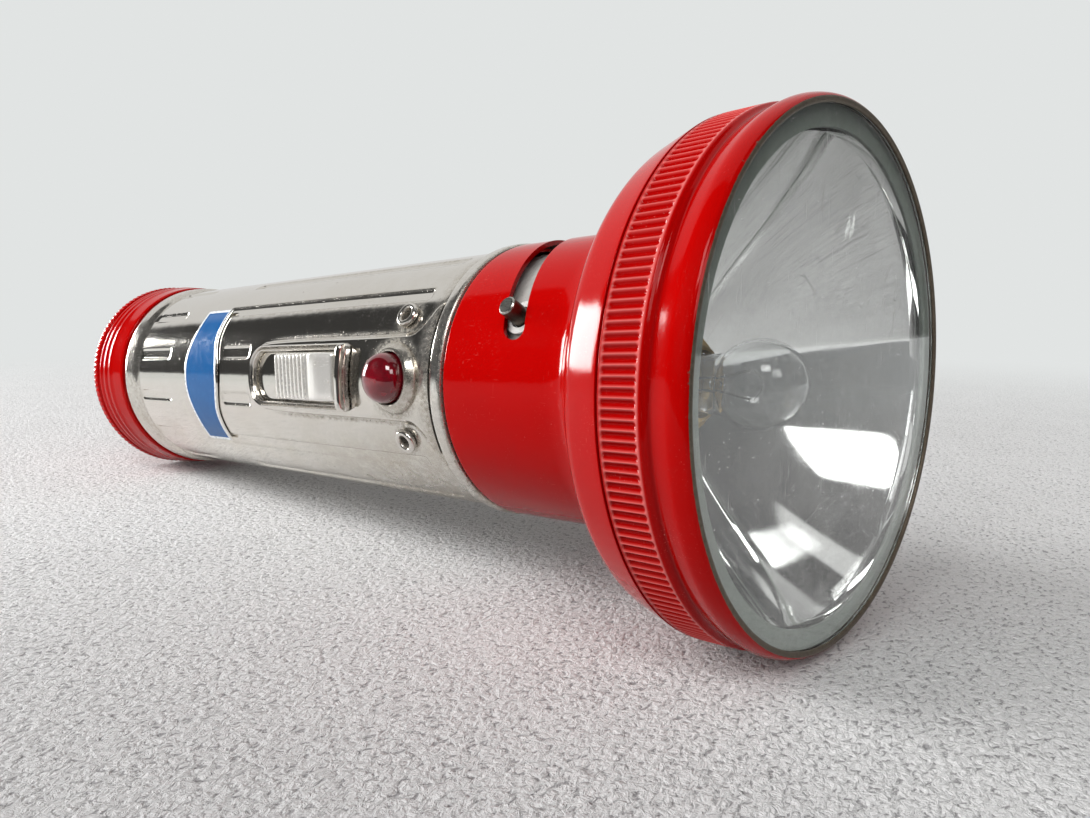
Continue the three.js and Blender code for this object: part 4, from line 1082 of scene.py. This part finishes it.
# ---------------------------------------------------------------- camera
F_PX, PX, PY, W_PX, H_PX = 862.0, 426.6, 470.1, 1090.0, 818.0
theta = math.radians(11.8)
a_cam = Vector((0.6678, 0.0889, -0.7390)).normalized()
u_cam = Vector((0.0, -math.cos(theta), -math.sin(theta)))
u_cam = u_cam.normalized()
x_cam = (a_cam - math.sin(TILT) * u_cam) / math.cos(TILT)
x_cam = (x_cam - u_cam * x_cam.dot(u_cam)).normalized()
y_cam = u_cam.cross(x_cam)
rot = Matrix((x_cam, y_cam, u_cam))  # rows: world axes in camera coordinates (x right, y down, z forward)
start = Vector((-51.70, -22.16, 202.03)) * MM
world_start = Vector((OX * MM, 0, OZ * MM))
cam_at = world_start - rot @ start
right, down, forward = rot @ Vector((1, 0, 0)), rot @ Vector((0, 1, 0)), rot @ Vector((0, 0, 1))
cam_data = bpy.data.cameras.new("camera")
cam_data.sensor_fit = "HORIZONTAL"
cam_data.sensor_width = 36.0
cam_data.lens = 36.0 * F_PX / W_PX
cam_data.shift_x = (W_PX / 2 - PX) / W_PX
cam_data.shift_y = (PY - H_PX / 2) / W_PX
cam_data.clip_start, cam_data.clip_end = 0.005, 50
cam_data.dof.use_dof = False
camera = bpy.data.objects.new("camera", cam_data)
bpy.context.scene.collection.objects.link(camera)
camera.matrix_world = Matrix.Translation(cam_at) @ Matrix((right, -down, -forward)).transposed().to_4x4()
bpy.context.scene.camera = camera

# ---------------------------------------------------------------- light
world = bpy.data.worlds.new("studio")
bpy.context.scene.world = world
world.use_nodes = True
wt = world.node_tree
wt.nodes.clear()


def w(op, a, b=None, clamp=False):
    n = wt.nodes.new("ShaderNodeMath")
    n.operation, n.use_clamp = op, clamp
    for i, v in enumerate((a, b)):
        if isinstance(v, bpy.types.NodeSocket):
            wt.links.new(v, n.inputs[i])
        elif v is not None:
            n.inputs[i].default_value = v
    return n.outputs[0]


def soft(value, lo, hi, a=0.0, b=1.0):
    n = wt.nodes.new("ShaderNodeMapRange")
    n.interpolation_type = "SMOOTHSTEP"
    wt.links.new(value, n.inputs["Value"])
    for key, v in (("From Min", lo), ("From Max", hi), ("To Min", a), ("To Max", b)):
        n.inputs[key].default_value = v
    return n.outputs[0]


tc = wt.nodes.new("ShaderNodeTexCoord")
sep = wt.nodes.new("ShaderNodeSeparateXYZ")
wt.links.new(tc.outputs["Generated"], sep.inputs[0])
dx, dy, dz = sep.outputs
bright = w("MULTIPLY", soft(dy, -0.13, -0.09), soft(dx, 0.27, 0.23))
level = w("ADD", 0.045, w("MULTIPLY", bright, 0.66))
below = soft(dz, 0.0, -0.01)
level = w("MAXIMUM", level, w("MULTIPLY", below, 0.60))


def window(direction, wide, high, power, soft_edge=0.02):
    """A bright rectangle of sky in the direction given."""
    d = Vector(direction).normalized()
    side = Vector((-d.y, d.x, 0)).normalized()
    up = d.cross(side)
    if up.z < 0:
        up = -up

    def along(v):
        return w("ADD", w("ADD", w("MULTIPLY", dx, v.x), w("MULTIPLY", dy, v.y)), w("MULTIPLY", dz, v.z))

    f, a, b = along(d), w("ABSOLUTE", along(side)), w("ABSOLUTE", along(up))
    a = w("DIVIDE", a, w("MAXIMUM", f, 0.05))
    b = w("DIVIDE", b, w("MAXIMUM", f, 0.05))
    ta, tb = math.tan(math.radians(wide / 2)), math.tan(math.radians(high / 2))
    m = w("MULTIPLY", soft(a, ta + soft_edge, ta - soft_edge), soft(b, tb + soft_edge, tb - soft_edge))
    m = w("MULTIPLY", m, soft(f, 0.05, 0.1))
    return w("MULTIPLY", m, power)


level = w("ADD", level, window((-0.979, -0.146, 0.139), 13, 15, 34.0))
level = w("ADD", level, window((0.79, -0.28, 0.54), 20, 18, 5.0))
level = w("ADD", level, window((0.50, 0.38, 0.78), 12, 11, 0.75))
level = w("ADD", level, window((0.45, -0.50, 0.74), 20, 17, 11.0))
path = wt.nodes.new("ShaderNodeLightPath")
room = wt.nodes.new("ShaderNodeBackground")
room.inputs[0].default_value = (1.0, 0.995, 0.985, 1)
even = w("MULTIPLY", path.outputs["Is Diffuse Ray"], w("SUBTRACT", 0.27, level))
wt.links.new(w("ADD", level, even), room.inputs[1])
seen = wt.nodes.new("ShaderNodeBackground")
seen.inputs[0].default_value = (0.755, 0.775, 0.77, 1)
seen.inputs[1].default_value = 1.0
mixw = wt.nodes.new("ShaderNodeMixShader")
wt.links.new(path.outputs["Is Camera Ray"], mixw.inputs[0])
wt.links.new(room.outputs[0], mixw.inputs[1])
wt.links.new(seen.outputs[0], mixw.inputs[2])
wo = wt.nodes.new("ShaderNodeOutputWorld")
wt.links.new(mixw.outputs[0], wo.inputs[0])


def area(name, at, aim, size, power, colour=(1, 1, 1), glossy=False):
    light = bpy.data.lights.new(name, "AREA")
    light.shape, light.size, light.size_y = "RECTANGLE", size[0], size[1]
    light.energy, light.color = power, colour
    ob = bpy.data.objects.new(name, light)
    bpy.context.scene.collection.objects.link(ob)
    at, aim = Vector(at), Vector(aim)
    ob.matrix_world = Matrix.Translation(at) @ (aim - at).to_track_quat("-Z", "Y").to_matrix().to_4x4()
    ob.visible_glossy = glossy
    ob.visible_camera = False
    return ob


area("key", (-0.70, -0.95, 0.80), (0, 0, 0.02), (0.6, 0.6), 14.0)
area("fill", (-0.10, -0.90, 1.00), (0, 0, 0.02), (0.8, 0.8), 5.5)
area("low_front", (-0.12, -1.20, 0.42), (0, 0, 0.02), (0.8, 0.5), 6.5)

view = bpy.context.scene.view_settings
view.view_transform, view.look, view.exposure, view.gamma = "Standard", "None", 0.0, 1.0
